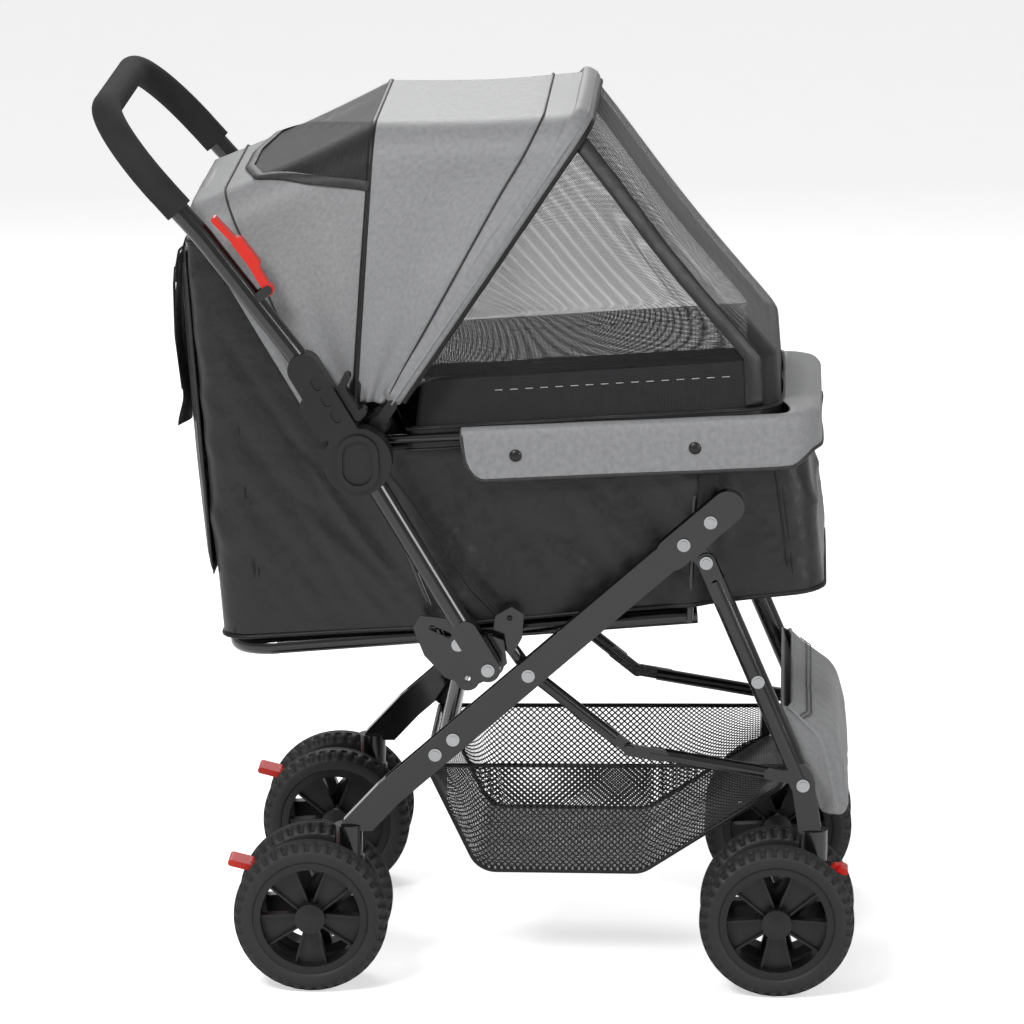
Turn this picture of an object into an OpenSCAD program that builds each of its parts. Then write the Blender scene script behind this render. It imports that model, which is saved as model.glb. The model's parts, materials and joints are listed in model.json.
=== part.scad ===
// Pet stroller: a zip-up cabin on a folding tube frame with four twin-wheel casters.
// Millimetres. +Z is up, +X is the front, +Y is the stroller's own left side.
// Every left-hand piece is drawn at +Y and mirrored for the right-hand side.

/* [Overall] */
// distance between the front and rear caster swivel axes
wheelbase = 496; // [430:1:596]
// height of the push handle's top above the floor
handle_top = 950; // [803:1:1140]
// distance between the left and right caster swivel axes
track = 382; // [330:1:459]

/* [Wheels] */
// outside diameter of a tyre
wheel_d = 165; // [137:1:190]
// width of one tyre
tyre_w = 34; // [28:1:41]
// clear gap between the two wheels of one caster
twin_gap = 43.5; // [40:0.5:52]
// diameter of the wheel axle
axle_d = 8; // [6.5:0.1:9.6]
// distance from the swivel axis back to the axle
trail = 38; // [32:1:42]

/* [Frame tubes] */
// outside diameter of the handle tube and the front legs
tube_d = 22; // [18:0.1:26.5]
// wall of every round tube
tube_wall = 1.2; // [1:0.1:2]
// height of the rear leg's rectangular section
leg_w = 30; // [25:1:34]
// thickness of the rear leg's rectangular section
leg_t = 15; // [12:1:18]
// outside diameter of the folding struts
strut_d = 14; // [12:0.5:14]
// outside diameter of the canopy bows
bow_d = 9; // [7:0.5:10]
// diameter of the pivot pins
pin_d = 8; // [6.5:0.1:9.6]

/* [Handle] */
// outside diameter of the foam grip
grip_d = 31; // [26:1:37]

/* [Fabric] */
// thickness of the cabin and canopy fabric with its padding
cloth_t = 3; // [2:0.5:4]
// thickness of the floor board
board_t = 5; // [4:0.5:8]

/* [Hidden] */

$fn = 48;
steel = [0.03, 0.03, 0.035];
plastic = [0.05, 0.05, 0.055];
rubber = [0.04, 0.04, 0.04];
foam = [0.06, 0.06, 0.06];
red = [0.85, 0.12, 0.08];
bright = [0.8, 0.8, 0.82];
grey_cloth = [0.66, 0.67, 0.68];
black_cloth = [0.04, 0.04, 0.045];

// side-view points follow the wheelbase and the handle height
run_s = wheelbase / 496;
rise_s = handle_top / 950;
x_centre = 31.5;
function at(x, z) = [(x + x_centre) * run_s, z * rise_s];

// running clearance of a pin in its hole, and the gap between sliding faces
fit = 0.05;
face_gap = 0.5;
// a bend is this much fatter than the straight that runs into it
lip = 0.15;

// planes across the width, measured from the middle
mid = track / 2;
pin_r = pin_d / 2;
tube_r = tube_d / 2;
strut_r = strut_d / 2;
bow_r = bow_d / 2;
leg_in = mid - leg_t / 2;
strut_y = leg_in - face_gap - strut_r;
cabin_y = mid - 26;
bracket_in = mid + leg_t / 2 + 1.5;
bracket_t = 4;
handle_y = bracket_in + bracket_t + 5 + tube_r + 2;
bow_y = mid + 9;
hub_out = mid + 14.5;

// wheels and casters, measured from the swivel axis at the floor
wheel_r = wheel_d / 2;
rim_r = wheel_r * 0.735;
rim_in = wheel_r * 0.646;
hub_r = wheel_r * 0.17;
cap_r = wheel_r * 0.194;
wheel_y = twin_gap / 2 + tyre_w / 2;
// the basket hangs between the inner wheels, which pass it as the frame folds
basket_y = mid - wheel_y - tyre_w / 2 - 3;
axle_r = axle_d / 2;
fork_w = twin_gap - 13.5;
collar_z = wheel_d - 26;
collar_r = 15;
stem_r = 6;
boss_r = 17;
boss_h = 30;
boss_top = collar_z - 1;
spokes = 5;

// main points of the side view
rear_x = at(-166, 0)[0];
front_x = at(329.5, 0)[0];
rear_foot = [rear_x + 6, wheel_d + 3];
rear_bend = at(-124, 207);
leg_top = at(232, 521);
leg_dir = (leg_top - rear_bend) / norm(leg_top - rear_bend);
leg_down = [leg_dir[1], -leg_dir[0]];
function on_leg(x) = rear_bend + leg_dir * (at(x, 0)[0] - rear_bend[0]) / leg_dir[0];
fold_pin = on_leg(194) + leg_down * (leg_w / 2 + tube_r + 4);
cross_pin = on_leg(26);
elbow_pin = at(133, 254);
low_pin = at(318, 223.5);
front_foot = [front_x - 3, wheel_d + 3];
strut_top = at(3, 371);
handle_pin = at(-15, 354);
bracket_rivet = at(-48, 374);
guide_hole = at(4, 388);
hub_mid = at(-152, 592);
front_hinge = at(-132, 610);
mid_hinge = at(-157, 627);
rear_clip = at(-186, 594);

// ---- shared shapes ----
function unit(v) = v / norm(v);
function turn_at(p, i) = let (u = unit(p[i] - p[i - 1]), w = unit(p[i + 1] - p[i]))
    atan2(u[0] * w[1] - u[1] * w[0], u * w);
function cut_at(p, i, bend) = bend * tan(abs(turn_at(p, i)) / 2);
// where a straight stops: just inside the bend that it runs into
function stop_at(p, i, bend) = let (c = cut_at(p, i, bend)) c - min(1, c / 2);

// a round bar along a path in the XY plane, with rounded bends
module run(p, r, bend, over = 0) {
    last = len(p) - 2;
    for (i = [0 : last]) {
        d = unit(p[i + 1] - p[i]);
        a = p[i] + d * (i == 0 ? -over : stop_at(p, i, bend));
        b = p[i + 1] - d * (i == last ? -over : stop_at(p, i + 1, bend));
        translate([a[0], a[1], 0])
        rotate([0, 0, atan2(d[1], d[0])])
        rotate([0, 90, 0])
        cylinder(h = norm(b - a), r = r);
    }
    if (last > 0)
    for (i = [1 : last]) {
        t = turn_at(p, i);
        u = unit(p[i] - p[i - 1]);
        n = [-u[1], u[0]] * (t > 0 ? 1 : -1);
        c = p[i] - u * cut_at(p, i, bend) + n * bend;
        translate([c[0], c[1], 0])
        rotate([0, 0, atan2(-n[1], -n[0]) + (t > 0 ? 0 : t)])
        rotate_extrude(angle = abs(t))
        translate([bend, 0])
        circle(r = r + lip);
    }
}

// the same path as a hollow tube, open at both ends
module tube(p, r, bend) {
    difference() {
        run(p, r, bend);
        run(p, r - tube_wall, bend, 1);
    }
}

// stands a drawing of the side view up at distance y from the middle
module upright(y) {
    translate([0, y, 0])
    rotate([90, 0, 0])
    children();
}

// a plate cut to a side-view outline, from y0 to y1
module slab(y0, y1) {
    upright(y1)
    linear_extrude(height = y1 - y0)
    children();
}

// a round bar across the stroller from y0 to y1 at side-view point p
module across(p, r, y0, y1) {
    translate([p[0], y0, p[1]])
    rotate([-90, 0, 0])
    cylinder(h = y1 - y0, r = r);
}

// a straight strip of width w between two side-view points, with round ends a hair
// narrower than its sides
module strip(a, b, w) {
    d = b - a;
    end_r = w / 2 - 0.05;
    translate(a)
    rotate([0, 0, atan2(d[1], d[0])])
    translate([0, -w / 2])
    square([norm(d), w]);
    translate(a)
    circle(r = end_r);
    translate(b)
    circle(r = end_r);
}

module right() {
    mirror([0, 1, 0])
    children();
}

module both() {
    children();
    right()
    children();
}

// puts a caster part at one of the four corners
module corner(front, left) {
    translate([front ? front_x : rear_x, left ? mid : -mid, 0])
    children();
}

// ---- wheels ----
module tyre(side) {
    crown = tyre_w / 4;
    tread = 7;
    wall = 4.5;
    color(rubber)
    translate([-trail, side * wheel_y, wheel_r])
    rotate([90, 0, 0])
    rotate_extrude()
    difference() {
        union() {
            translate([rim_r, -tyre_w / 2])
            square([wheel_r - crown - rim_r, tyre_w]);
            translate([rim_r, -crown])
            square([wheel_r - rim_r, 2 * crown]);
            translate([wheel_r - crown, crown])
            circle(r = crown);
            translate([wheel_r - crown, -crown])
            circle(r = crown);
        }
        // hollow, and open towards the rim
        translate([rim_r - 1, wall - tyre_w / 2])
        square([wheel_r - tread - rim_r + 1, tyre_w - 2 * wall]);
    }
}

// side is +1 for the wheel on the caster's left and -1 for the one on its right
module rim(side) {
    barrel_w = tyre_w - 4;
    hub_out_y = tyre_w / 2 - 6;
    hub_in_y = tyre_w / 2 - 0.5;
    rib = 2.4;
    color(plastic)
    translate([-trail, side * wheel_y, wheel_r])
    mirror([0, side > 0 ? 0 : 1, 0])
    rotate([-90, 0, 0]) {
        difference() {
            union() {
                difference() {
                    translate([0, 0, -barrel_w / 2])
                    cylinder(h = barrel_w, r = rim_r);
                    translate([0, 0, -barrel_w])
                    cylinder(h = 2 * barrel_w, r = rim_in);
                }
                translate([0, 0, -hub_in_y])
                cylinder(h = hub_in_y + hub_out_y, r = hub_r);
                for (i = [0 : spokes - 1])
                rotate([0, 0, 360 / spokes * i + 18])
                spoke(rib);
            }
            translate([0, 0, -tyre_w])
            cylinder(h = 2 * tyre_w, r = axle_r + fit);
        }
        translate([0, 0, hub_out_y])
        cap();
    }
}

// one flared spoke: a web with a raised rib along each edge
module spoke(rib) {
    in_w = hub_r * 0.5;
    out_w = rim_r * 0.3;
    start = hub_r * 0.8;
    stop = rim_in + 1;
    translate([0, 0, -2])
    linear_extrude(height = 4)
    polygon([[start, -in_w], [stop, -out_w], [stop, out_w], [start, in_w]]);
    for (s = [-1, 1])
    translate([0, 0, -7])
    linear_extrude(height = 14)
    polygon([[start, s * in_w], [stop, s * out_w], [stop, s * (out_w - rib)],
        [start, s * (in_w - rib)]]);
}

// the domed cap that hides the axle's end
module cap() {
    dome = 60;
    intersection() {
        cylinder(h = 9, r = cap_r);
        translate([0, 0, 9 - dome])
        sphere(r = dome, $fn = 96);
    }
}

// ---- casters ----
module fork_outline() {
    polygon([[-boss_r, boss_top], [-trail - 15, wheel_r + 12], [-trail - 10, wheel_r - 12],
        [-trail + 8, wheel_r - 14], [boss_r - 3, boss_top - boss_h], [boss_r - 3, boss_top]]);
    translate([-trail, wheel_r])
    circle(r = 17);
}

pedal_gap = 12;
rear_hinge = [-trail - 21, wheel_r + 9];
front_lever_hinge = [boss_r + 1, boss_top - 12];
pedal_pin_r = 2.5;

module caster_fork(front) {
    hinge = front ? front_lever_hinge : rear_hinge;
    color(plastic) {
        difference() {
            union() {
                slab(-fork_w / 2, fork_w / 2)
                union() {
                    fork_outline();
                    strip(front ? [boss_r - 8, boss_top - 12] : [-trail - 6, wheel_r + 4], hinge, 14);
                }
                translate([0, 0, boss_top - boss_h])
                cylinder(h = boss_h, r = boss_r);
            }
            translate([0, 0, boss_top - boss_h - 1])
            cylinder(h = boss_h + 2, r = stem_r + fit);
            translate([0, 0, boss_top - boss_h - 9])
            cylinder(h = 14, r = stem_r + 4.5);
            translate([hinge[0] + (front ? 9 : -9), 0, hinge[1]])
            cube([34, pedal_gap + 0.6, 60], center = true);
        }
        across([-trail, wheel_r], axle_r, -wheel_y - tyre_w / 2 + 6.5, wheel_y + tyre_w / 2 - 6.5);
        across([-trail, wheel_r], axle_r + 3, -twin_gap / 2, twin_gap / 2);
        across(hinge, pedal_pin_r, -fork_w / 2 + 1, fork_w / 2 - 1);
    }
}

module pedal(front) {
    h = front ? front_lever_hinge : rear_hinge;
    elbow = front ? h + [6, 5] : h + [-24, 22];
    tip = front ? h + [12, 5] : h + [-46, 36];
    pad_w = front ? 24 : 34;
    color(red)
    difference() {
        union() {
            slab(-pedal_gap / 2, pedal_gap / 2)
            union() {
                strip(h, elbow, 9);
                strip(elbow, tip, 8);
            }
            slab(-pad_w / 2, pad_w / 2)
            strip(tip, tip + (front ? [4, -2] : [-20, 5]), 7);
        }
        across(h, pedal_pin_r + fit, -pad_w, pad_w);
    }
}

// kingpins: a flange under the leg's collar and a shaft down through the caster
module stem() {
    translate([0, 0, boss_top - boss_h + 6])
    cylinder(h = boss_h + 4, r = stem_r);
    translate([0, 0, boss_top - boss_h + 1])
    cylinder(h = 3.5, r = stem_r + 3.5);
    translate([0, 0, boss_top - boss_h + 1])
    cylinder(h = 6, r = stem_r);
    translate([0, 0, collar_z - 0.7])
    cylinder(h = 0.7, r = stem_r + 5);
}

module rear_stems() {
    color(bright)
    both()
    translate([rear_x, mid, 0])
    stem();
}

module front_stems() {
    color(bright)
    both()
    translate([front_x, mid, 0])
    stem();
}

// the upright collar under a leg, with its blind stem hole
module collar() {
    translate([0, 0, collar_z])
    cylinder(h = wheel_d - collar_z + 8, r = collar_r);
}

module collar_bore() {
    translate([0, 0, collar_z - 1])
    cylinder(h = 10, r = stem_r + 0.02);
}

// ---- rear legs ----
module rear_leg() {
    wall = 1.5;
    foot_dir = unit(rear_foot - rear_bend);
    sleeve_a = on_leg(178);
    sleeve_b = on_leg(236);
    color(steel)
    difference() {
        union() {
            slab(leg_in, leg_in + leg_t)
            union() {
                strip(rear_bend, leg_top, leg_w);
                strip(rear_bend, rear_foot, leg_w);
            }
            slab(leg_in - 0.01, leg_in + leg_t + 3)
            strip(sleeve_a, sleeve_b, leg_w + 5);
            slab(mid - 5.5, mid + 5.5)
            strip(on_leg(192), fold_pin, 19);
            translate([rear_x, mid, 0])
            collar();
        }
        slab(leg_in + wall, leg_in + leg_t - wall)
        translate(rear_bend + leg_down * (wall - leg_w / 2) + leg_dir * 10)
        rotate([0, 0, atan2(leg_dir[1], leg_dir[0])])
        square([norm(leg_top - rear_bend) + 60, leg_w - 2 * wall]);
        slab(leg_in + wall + 0.1, leg_in + leg_t - wall - 0.1)
        translate(rear_bend)
        rotate([0, 0, atan2(foot_dir[1], foot_dir[0])])
        translate([-6, wall - leg_w / 2 + 0.1])
        square([norm(rear_foot - rear_bend) - 12, leg_w - 2 * wall - 0.2]);
        across(cross_pin, pin_r, leg_in - 9, leg_in + leg_t + 9);
        across(fold_pin, pin_r, leg_in - 9, leg_in + leg_t + 9);
        translate([rear_x, mid, 0])
        collar_bore();
        translate([rear_x, mid, 0])
        foot_trim();
    }
}

// clears the leg's foot away from the wheels as the caster turns under it
module foot_trim() {
    difference() {
        translate([-60, -60, collar_z - 40])
        cube([120, 120, wheel_d + 2 - collar_z + 40]);
        translate([0, 0, collar_z])
        cylinder(h = 200, r = collar_r);
    }
}

module rear_crossbar() {
    p = on_leg(-63);
    color(steel)
    difference() {
        across(p, 9, -leg_in, leg_in);
        across(p, 9 - tube_wall, -leg_in - 1, leg_in + 1);
    }
}

// ---- front legs ----
leg_axis = (low_pin - fold_pin) / norm(low_pin - fold_pin);

module front_leg() {
    ear_in = mid - 5.5 - face_gap;
    ear_out = mid + 5.5 + face_gap;
    top = fold_pin + leg_axis * (tube_r + 12);
    color(steel)
    difference() {
        union() {
            upright(mid)
            run([top, low_pin + leg_axis * 6], tube_r, 1);
            slab(ear_out, mid + tube_r - 1.5)
            strip(fold_pin, fold_pin + leg_axis * (tube_r + 30), 2 * tube_r - 3);
            slab(mid - tube_r + 1.5, ear_in)
            strip(fold_pin, fold_pin + leg_axis * (tube_r + 30), 2 * tube_r - 3);
            slab(mid - tube_r + 3, mid + tube_r - 3)
            strip(top + leg_axis * 8, top + leg_axis * 26, 2 * tube_r - 5);
            slab(mid - 10, mid + 10)
            union() {
                strip(low_pin - leg_axis * 12, low_pin, tube_d + 4);
                strip(low_pin, front_foot, tube_d + 2);
            }
            translate([front_x, mid, 0])
            collar();
        }
        upright(mid)
        run([top - leg_axis * 2, low_pin - leg_axis * 14], tube_r - tube_wall, 1);
        across(fold_pin, pin_r + fit, 0, 2 * mid);
        across(low_pin, pin_r, 0, 2 * mid);
        translate([front_x, mid, 0])
        collar_bore();
        translate([front_x, mid, 0])
        foot_trim();
    }
}

module front_crossbar() {
    p = low_pin + leg_axis * -22;
    color(steel)
    difference() {
        across(p, 8, -mid + 9.9, mid - 9.9);
        across(p, 8 - tube_wall, -mid, mid);
        // each end is cut to sit round the leg's tube and beside its plate
        both()
        upright(mid)
        run([fold_pin, low_pin + leg_axis * 6], tube_r + 0.02, 1);
        both()
        slab(mid - 10.02, mid)
        strip(low_pin - leg_axis * 12, low_pin, tube_d + 4.1);
    }
}

// ---- folding struts ----
eye_t = 4.5;
low_eye_out = mid - tube_r - face_gap;
elbow_in = strut_y - strut_r + 0.4;
low_strut_y = low_eye_out - strut_r - 0.4;

module upper_strut() {
    dir = unit(elbow_pin - cross_pin);
    color(steel)
    difference() {
        union() {
            upright(strut_y)
            difference() {
                run([strut_top, cross_pin, elbow_pin - dir * 20], strut_r, 60);
                run([strut_top, cross_pin, elbow_pin - dir * 20], strut_r - tube_wall, 60, 1);
            }
            slab(elbow_in, elbow_in + eye_t)
            strip(elbow_pin - dir * 34, elbow_pin, 2 * strut_r - 1);
            across(elbow_pin, strut_r - 1.5, elbow_in - 2.5, elbow_in);
        }
        across(cross_pin, pin_r + fit, 0, 2 * mid);
    }
}

module lower_strut() {
    dir = unit(low_pin - elbow_pin);
    eye_y = elbow_in + eye_t + face_gap;
    color(steel)
    difference() {
        union() {
            upright(low_strut_y)
            difference() {
                run([elbow_pin + dir * 22, low_pin - dir * 22], strut_r, 1);
                run([elbow_pin + dir * 22, low_pin - dir * 22], strut_r - tube_wall, 1, 1);
            }
            slab(eye_y, eye_y + eye_t)
            strip(elbow_pin, elbow_pin + dir * 36, 2 * strut_r - 1);
            across(elbow_pin, strut_r - 1.5, eye_y + eye_t, eye_y + eye_t + 2.5);
            slab(low_eye_out - eye_t, low_eye_out)
            strip(low_pin - dir * 36, low_pin, 2 * strut_r - 1.2);
        }
        across(low_pin, pin_r + fit, 0, 2 * mid);
    }
}

// ---- seat frame ----
seat_a = at(-288, 355);
seat_b = at(204, 397);
seat_r = 9.5;
seat_y = cabin_y - 14;

module seat_base_tube() {
    d = seat_b - seat_a;
    l = norm(d);
    color(steel)
    translate([seat_a[0], 0, seat_a[1]])
    rotate([0, -atan2(d[1], d[0]), 0])
    tube([[l, -seat_y], [0, -seat_y], [0, seat_y], [l, seat_y]], seat_r, 45);
}

module pivot_bracket() {
    slot_r = norm(at(-100, 380) - handle_pin);
    color(steel)
    difference() {
        union() {
            slab(bracket_in, bracket_in + bracket_t)
            union() {
                polygon([at(-96, 392), at(-88, 405), at(-60, 402), at(0, 379), at(4, 354),
                    at(-12, 338), at(-34, 328), at(-62, 338), at(-84, 362)]);
                translate(handle_pin)
                circle(r = 16);
                translate(at(-38, 337))
                circle(r = 13);
            }
            across(handle_pin, pin_r + 3, bracket_in, handle_y - tube_r - 2.5);
            slab(leg_in + 1, leg_in + 5)
            polygon([at(-13, 378), at(-9, 402), at(8, 412), at(21, 404), at(19, 378), at(8, 358)]);
            across(guide_hole, 4, seat_y - 3, leg_in + 4);
            across(bracket_rivet, 6, seat_y - 3, bracket_in + 1);
            across(at(-3, 372), 3, leg_in + 3, bracket_in + 1);
        }
        across(handle_pin, pin_r, bracket_in + 2, 2 * mid);
        across(at(-38, 337), 3, 0, 2 * mid);
        across(at(6, 400), 3, 0, 2 * mid);
        slab(bracket_in - 1, bracket_in + bracket_t + 1)
        strip(at(-76, 392), at(-58, 384), 6);
        seat_bore();
    }
}

// leaves room for the seat tube where a bracket post or a side strut meets it
module seat_bore() {
    d = seat_b - seat_a;
    translate([seat_a[0], seat_y, seat_a[1]])
    rotate([0, -atan2(d[1], d[0]), 0])
    rotate([0, 90, 0])
    translate([0, 0, 50])
    cylinder(h = norm(d), r = seat_r);
}

rim_y = cabin_y + 6.5;
rim_r_tube = 5;

rim_back = at(-134, 588);
rim_front = at(325, 612);

module rim_run(r, over) {
    d = rim_front - rim_back;
    translate([rim_back[0], 0, rim_back[1]])
    rotate([0, -atan2(d[1], d[0]), 0])
    run([[0, -rim_y], [norm(d), -rim_y], [norm(d), rim_y], [0, rim_y]], r, 40, over);
}

module rim_tube() {
    color(steel)
    difference() {
        rim_run(rim_r_tube, 0);
        rim_run(rim_r_tube - tube_wall, 1);
    }
}

module side_strut(low, high, r) {
    d = high - low;
    difference() {
        union() {
            across(low, r, seat_y, rim_y);
            translate([low[0], rim_y, low[1]])
            rotate([0, atan2(d[0], d[1]), 0])
            cylinder(h = norm(d), r = r - 0.2);
        }
        seat_bore();
    }
}

module side_struts() {
    color(steel)
    both() {
        side_strut(at(196, 396), at(204, 600.2), 4);
        side_strut(at(-66, 375), at(-143, 566), 4);
    }
}

module canopy_hub() {
    difference() {
        union() {
            slab(rim_y - 6, hub_out - 7)
            union() {
                strip(rear_clip, hub_mid, 26);
                strip(hub_mid + [1, 1], front_hinge, 25);
                strip(hub_mid - [1, 0], mid_hinge, 23);
                translate(hub_mid)
                circle(r = 24);
            }
            slab(hub_out - 8, hub_out)
            translate(hub_mid)
            circle(r = 14);
        }
        rim_run(rim_r_tube, 0);
        // the moving bows' shoes swing in these two pockets
        slab(bow_y - 6.5, hub_out - 6)
        translate(front_hinge)
        circle(r = 16);
        slab(bow_y - 6.6, hub_out - 6)
        translate(mid_hinge)
        circle(r = 13);
    }
    across(front_hinge, 3, rim_y - 2, bow_y + 4.5);
    across(mid_hinge, 3, rim_y - 2, bow_y + 4.5);
}

module canopy_hubs() {
    color(plastic)
    both()
    canopy_hub();
}

// ---- handle ----
handle_low = at(-15, 354);
knee_bend = 260;
handle_knee = at(-214, 686);
handle_neck = at(-314.2, 815.4);
handle_corner = at(-421.3, 934.3);
arch_bend = 100;

module handle_run(r, over) {
    both()
    upright(handle_y)
    run([handle_low + unit(handle_knee - handle_low) * 12, handle_knee, handle_neck,
        handle_neck + unit(handle_corner - handle_neck) * 30], r, knee_bend, over);
}

module handle_arch(r, start, over) {
    d = handle_corner - handle_neck;
    l = norm(d);
    translate([handle_neck[0], 0, handle_neck[1]])
    rotate([0, -atan2(d[1], d[0]), 0])
    run([[start, -handle_y], [l, -handle_y], [l, handle_y], [start, handle_y]], r, arch_bend, over);
}

module handle_tube() {
    color(steel)
    difference() {
        union() {
            handle_run(tube_r, 0);
            handle_arch(tube_r + 0.1, 24, 0);
            both()
            lever_lug();
            both()
            slab(handle_y - tube_r - 2, handle_y + tube_r + 2)
            strip(handle_pin, handle_pin + unit(handle_knee - handle_pin) * 46, 2 * tube_r + 4);
        }
        handle_run(tube_r - tube_wall, 10);
        handle_arch(tube_r - tube_wall + 0.05, 22, 0);
        both()
        across(handle_pin, pin_r + fit, 0, 2 * mid);
    }
}

// two small ears and a pin on the handle tube carry each release lever
module lever_lug() {
    for (y = [handle_y - 10, handle_y + 8.4])
    slab(y, y + 1.6)
    strip(lever_hinge - grip_side * (tube_r + 6), lever_hinge, 10);
    across(lever_hinge, 2.5, handle_y - 9, handle_y + 9);
}

module handle_grip() {
    color(foam)
    difference() {
        handle_arch(grip_d / 2, 34, 0);
        handle_arch(tube_r + 0.1, 24, 0);
    }
}

lock_dir = unit(handle_knee - handle_low);
lock_side = [lock_dir[1], -lock_dir[0]];
function on_lock(along, out) = handle_low + lock_dir * along + lock_side * out;

module lock_housings() {
    color(plastic)
    both()
    difference() {
        union() {
            slab(handle_y - tube_r - 1.5, handle_y + tube_r + 5)
            union() {
                strip(on_lock(250, 0), on_lock(374, 0), 34);
                translate(on_lock(262, -2))
                circle(r = 36);
                strip(on_lock(306, -18), on_lock(338, -18), 16);
            }
            slab(handle_y + tube_r + 4, handle_y + tube_r + 9)
            difference() {
                strip(on_lock(254, -6), on_lock(268, 2), 44);
                strip(on_lock(254, -6), on_lock(268, 2), 32);
            }
        }
        for (i = [0 : 2])
        slab(handle_y + tube_r + 3, handle_y + tube_r + 9)
        strip(on_lock(312 + 20 * i, 4), on_lock(318 + 20 * i, 4), 9);
        upright(handle_y)
        run([handle_low, handle_knee, handle_neck], tube_r + lip + 0.02, knee_bend);
    }
}

slider_in = handle_y - 9;
slider_out = handle_y + 9;

module lock_slider() {
    color(plastic)
    slab(slider_in, slider_out)
    difference() {
        union() {
            strip(on_lock(302, 22.5), on_lock(336, 22.5), 9);
            strip(on_lock(336, 22.5), on_lock(344, 34), 8);
            strip(on_lock(302, 22.5), on_lock(304, 30), 8);
        }
        translate(on_lock(290, -4))
        rotate([0, 0, atan2(lock_dir[1], lock_dir[0])])
        translate([-20, -22])
        square([140, 21.7]);
    }
}

grip_dir = unit(handle_neck - handle_knee);
grip_side = [grip_dir[1], -grip_dir[0]];
lever_hinge = handle_knee + grip_dir * 76 + grip_side * (tube_r + 9);
lever_belly = lever_hinge + grip_dir * 44 + grip_side * 6;

module release_lever() {
    color(red)
    difference() {
        slab(handle_y - 8, handle_y + 8)
        union() {
            strip(lever_hinge, lever_belly, 9);
            strip(lever_belly - grip_dir * 14, lever_belly + grip_dir * 14, 12);
            strip(lever_belly, lever_hinge + grip_dir * 92 + grip_side, 6);
            translate(lever_hinge)
            circle(r = 6.5);
        }
        across(lever_hinge, 2.5 + fit, 0, 2 * handle_y);
    }
}

// ---- canopy bows ----
bow_bend = 42;

// a bow leans in side view, so it is drawn flat and tipped up about its hinge
module bow_run(hinge, top, corner_y, foot_y, start, r, over) {
    d = top - hinge;
    l = norm(d);
    translate([hinge[0], 0, hinge[1]])
    rotate([0, -atan2(d[1], d[0]), 0])
    run([[start, -foot_y], [l * 0.5, -foot_y + 4], [l, -corner_y], [l, corner_y],
        [l * 0.5, foot_y - 4], [start, foot_y]], r, bow_bend, over);
}

// a hinged bow with a shoe at each foot; its bore opens into the hinge holes
module hinged_bow(hinge, top, corner_y, shoe_r) {
    d = unit(top - hinge);
    color(plastic)
    difference() {
        union() {
            bow_run(hinge, top, corner_y, bow_y, 22, bow_r, 0);
            both()
            slab(bow_y - 6, bow_y + 6)
            union() {
                translate(hinge)
                circle(r = shoe_r);
                strip(hinge, hinge + d * 26, 12);
            }
        }
        bow_run(hinge, top, corner_y, bow_y, 22, bow_r - tube_wall, 21);
        both()
        across(hinge, 3 + fit, 0, 2 * mid);
    }
}

front_top = at(84, 930);
mid_top = at(-138, 917);
rear_top = at(-328, 829);

module canopy_front_bow() {
    hinged_bow(front_hinge, front_top, cabin_y + 7, 9.5);
}

module canopy_mid_bow() {
    hinged_bow(mid_hinge, mid_top, cabin_y + 5, 8);
}

module canopy_rear_bow() {
    color(plastic)
    difference() {
        bow_run(rear_clip, rear_top, cabin_y + 7, bow_y - 14, 13.1, bow_r, 0);
        bow_run(rear_clip, rear_top, cabin_y + 7, bow_y - 14, 13.1, bow_r - tube_wall, 1);
    }
}

// ---- soft goods ----
module prism(points, half) {
    slab(-half, half)
    polygon(points);
}

module cabin_body() {
    color(black_cloth)
    difference() {
        prism([at(-302, 368), at(-101, 382.5), at(101, 402.5), at(338, 428), at(315, 600),
            at(-36, 584), at(-140, 572), at(-316, 800), at(-337, 794)], cabin_y);
        prism([at(-302, 368) + [cloth_t, cloth_t], at(-101, 382.5) + [0, cloth_t],
            at(101, 402.5) + [0, cloth_t], at(338, 428) + [-cloth_t, cloth_t],
            at(315, 600) + [-cloth_t, 0], at(301, 700), at(0, 980), at(-352, 980) + [cloth_t, 0]],
            cabin_y - cloth_t);
    }
}

module cabin_floor() {
    up = cloth_t;
    top = cloth_t + board_t;
    color(black_cloth)
    prism([at(-290, 369.4) + [0, up], at(-101, 382.5) + [0, up], at(101, 402.5) + [0, up],
        at(325, 427.6) + [0, up], at(325, 427.6) + [0, top], at(101, 402.5) + [0, top],
        at(-101, 382.5) + [0, top], at(-290, 369.4) + [0, top]], cabin_y - cloth_t - 4);
}

// the net window closes the space between the front bow and the cabin's front edge
module mesh_window() {
    low_y = cabin_y - 1;
    color(black_cloth)
    difference() {
        prism([at(-86, 640), at(81, 902), at(94, 906), at(288, 672), at(302.1, 617.5), at(-36, 588)], low_y);
        prism([at(-112, 620), at(64, 1100), at(94, 903) - [2, 0], at(285.4, 671), at(303.5, 602),
            at(303, 560), at(-120, 560)], low_y - 2);
        prism([at(-112, 620), at(64, 1100), at(88, 906), at(60, 860), at(-80, 620)], low_y - 2);
    }
}

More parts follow.
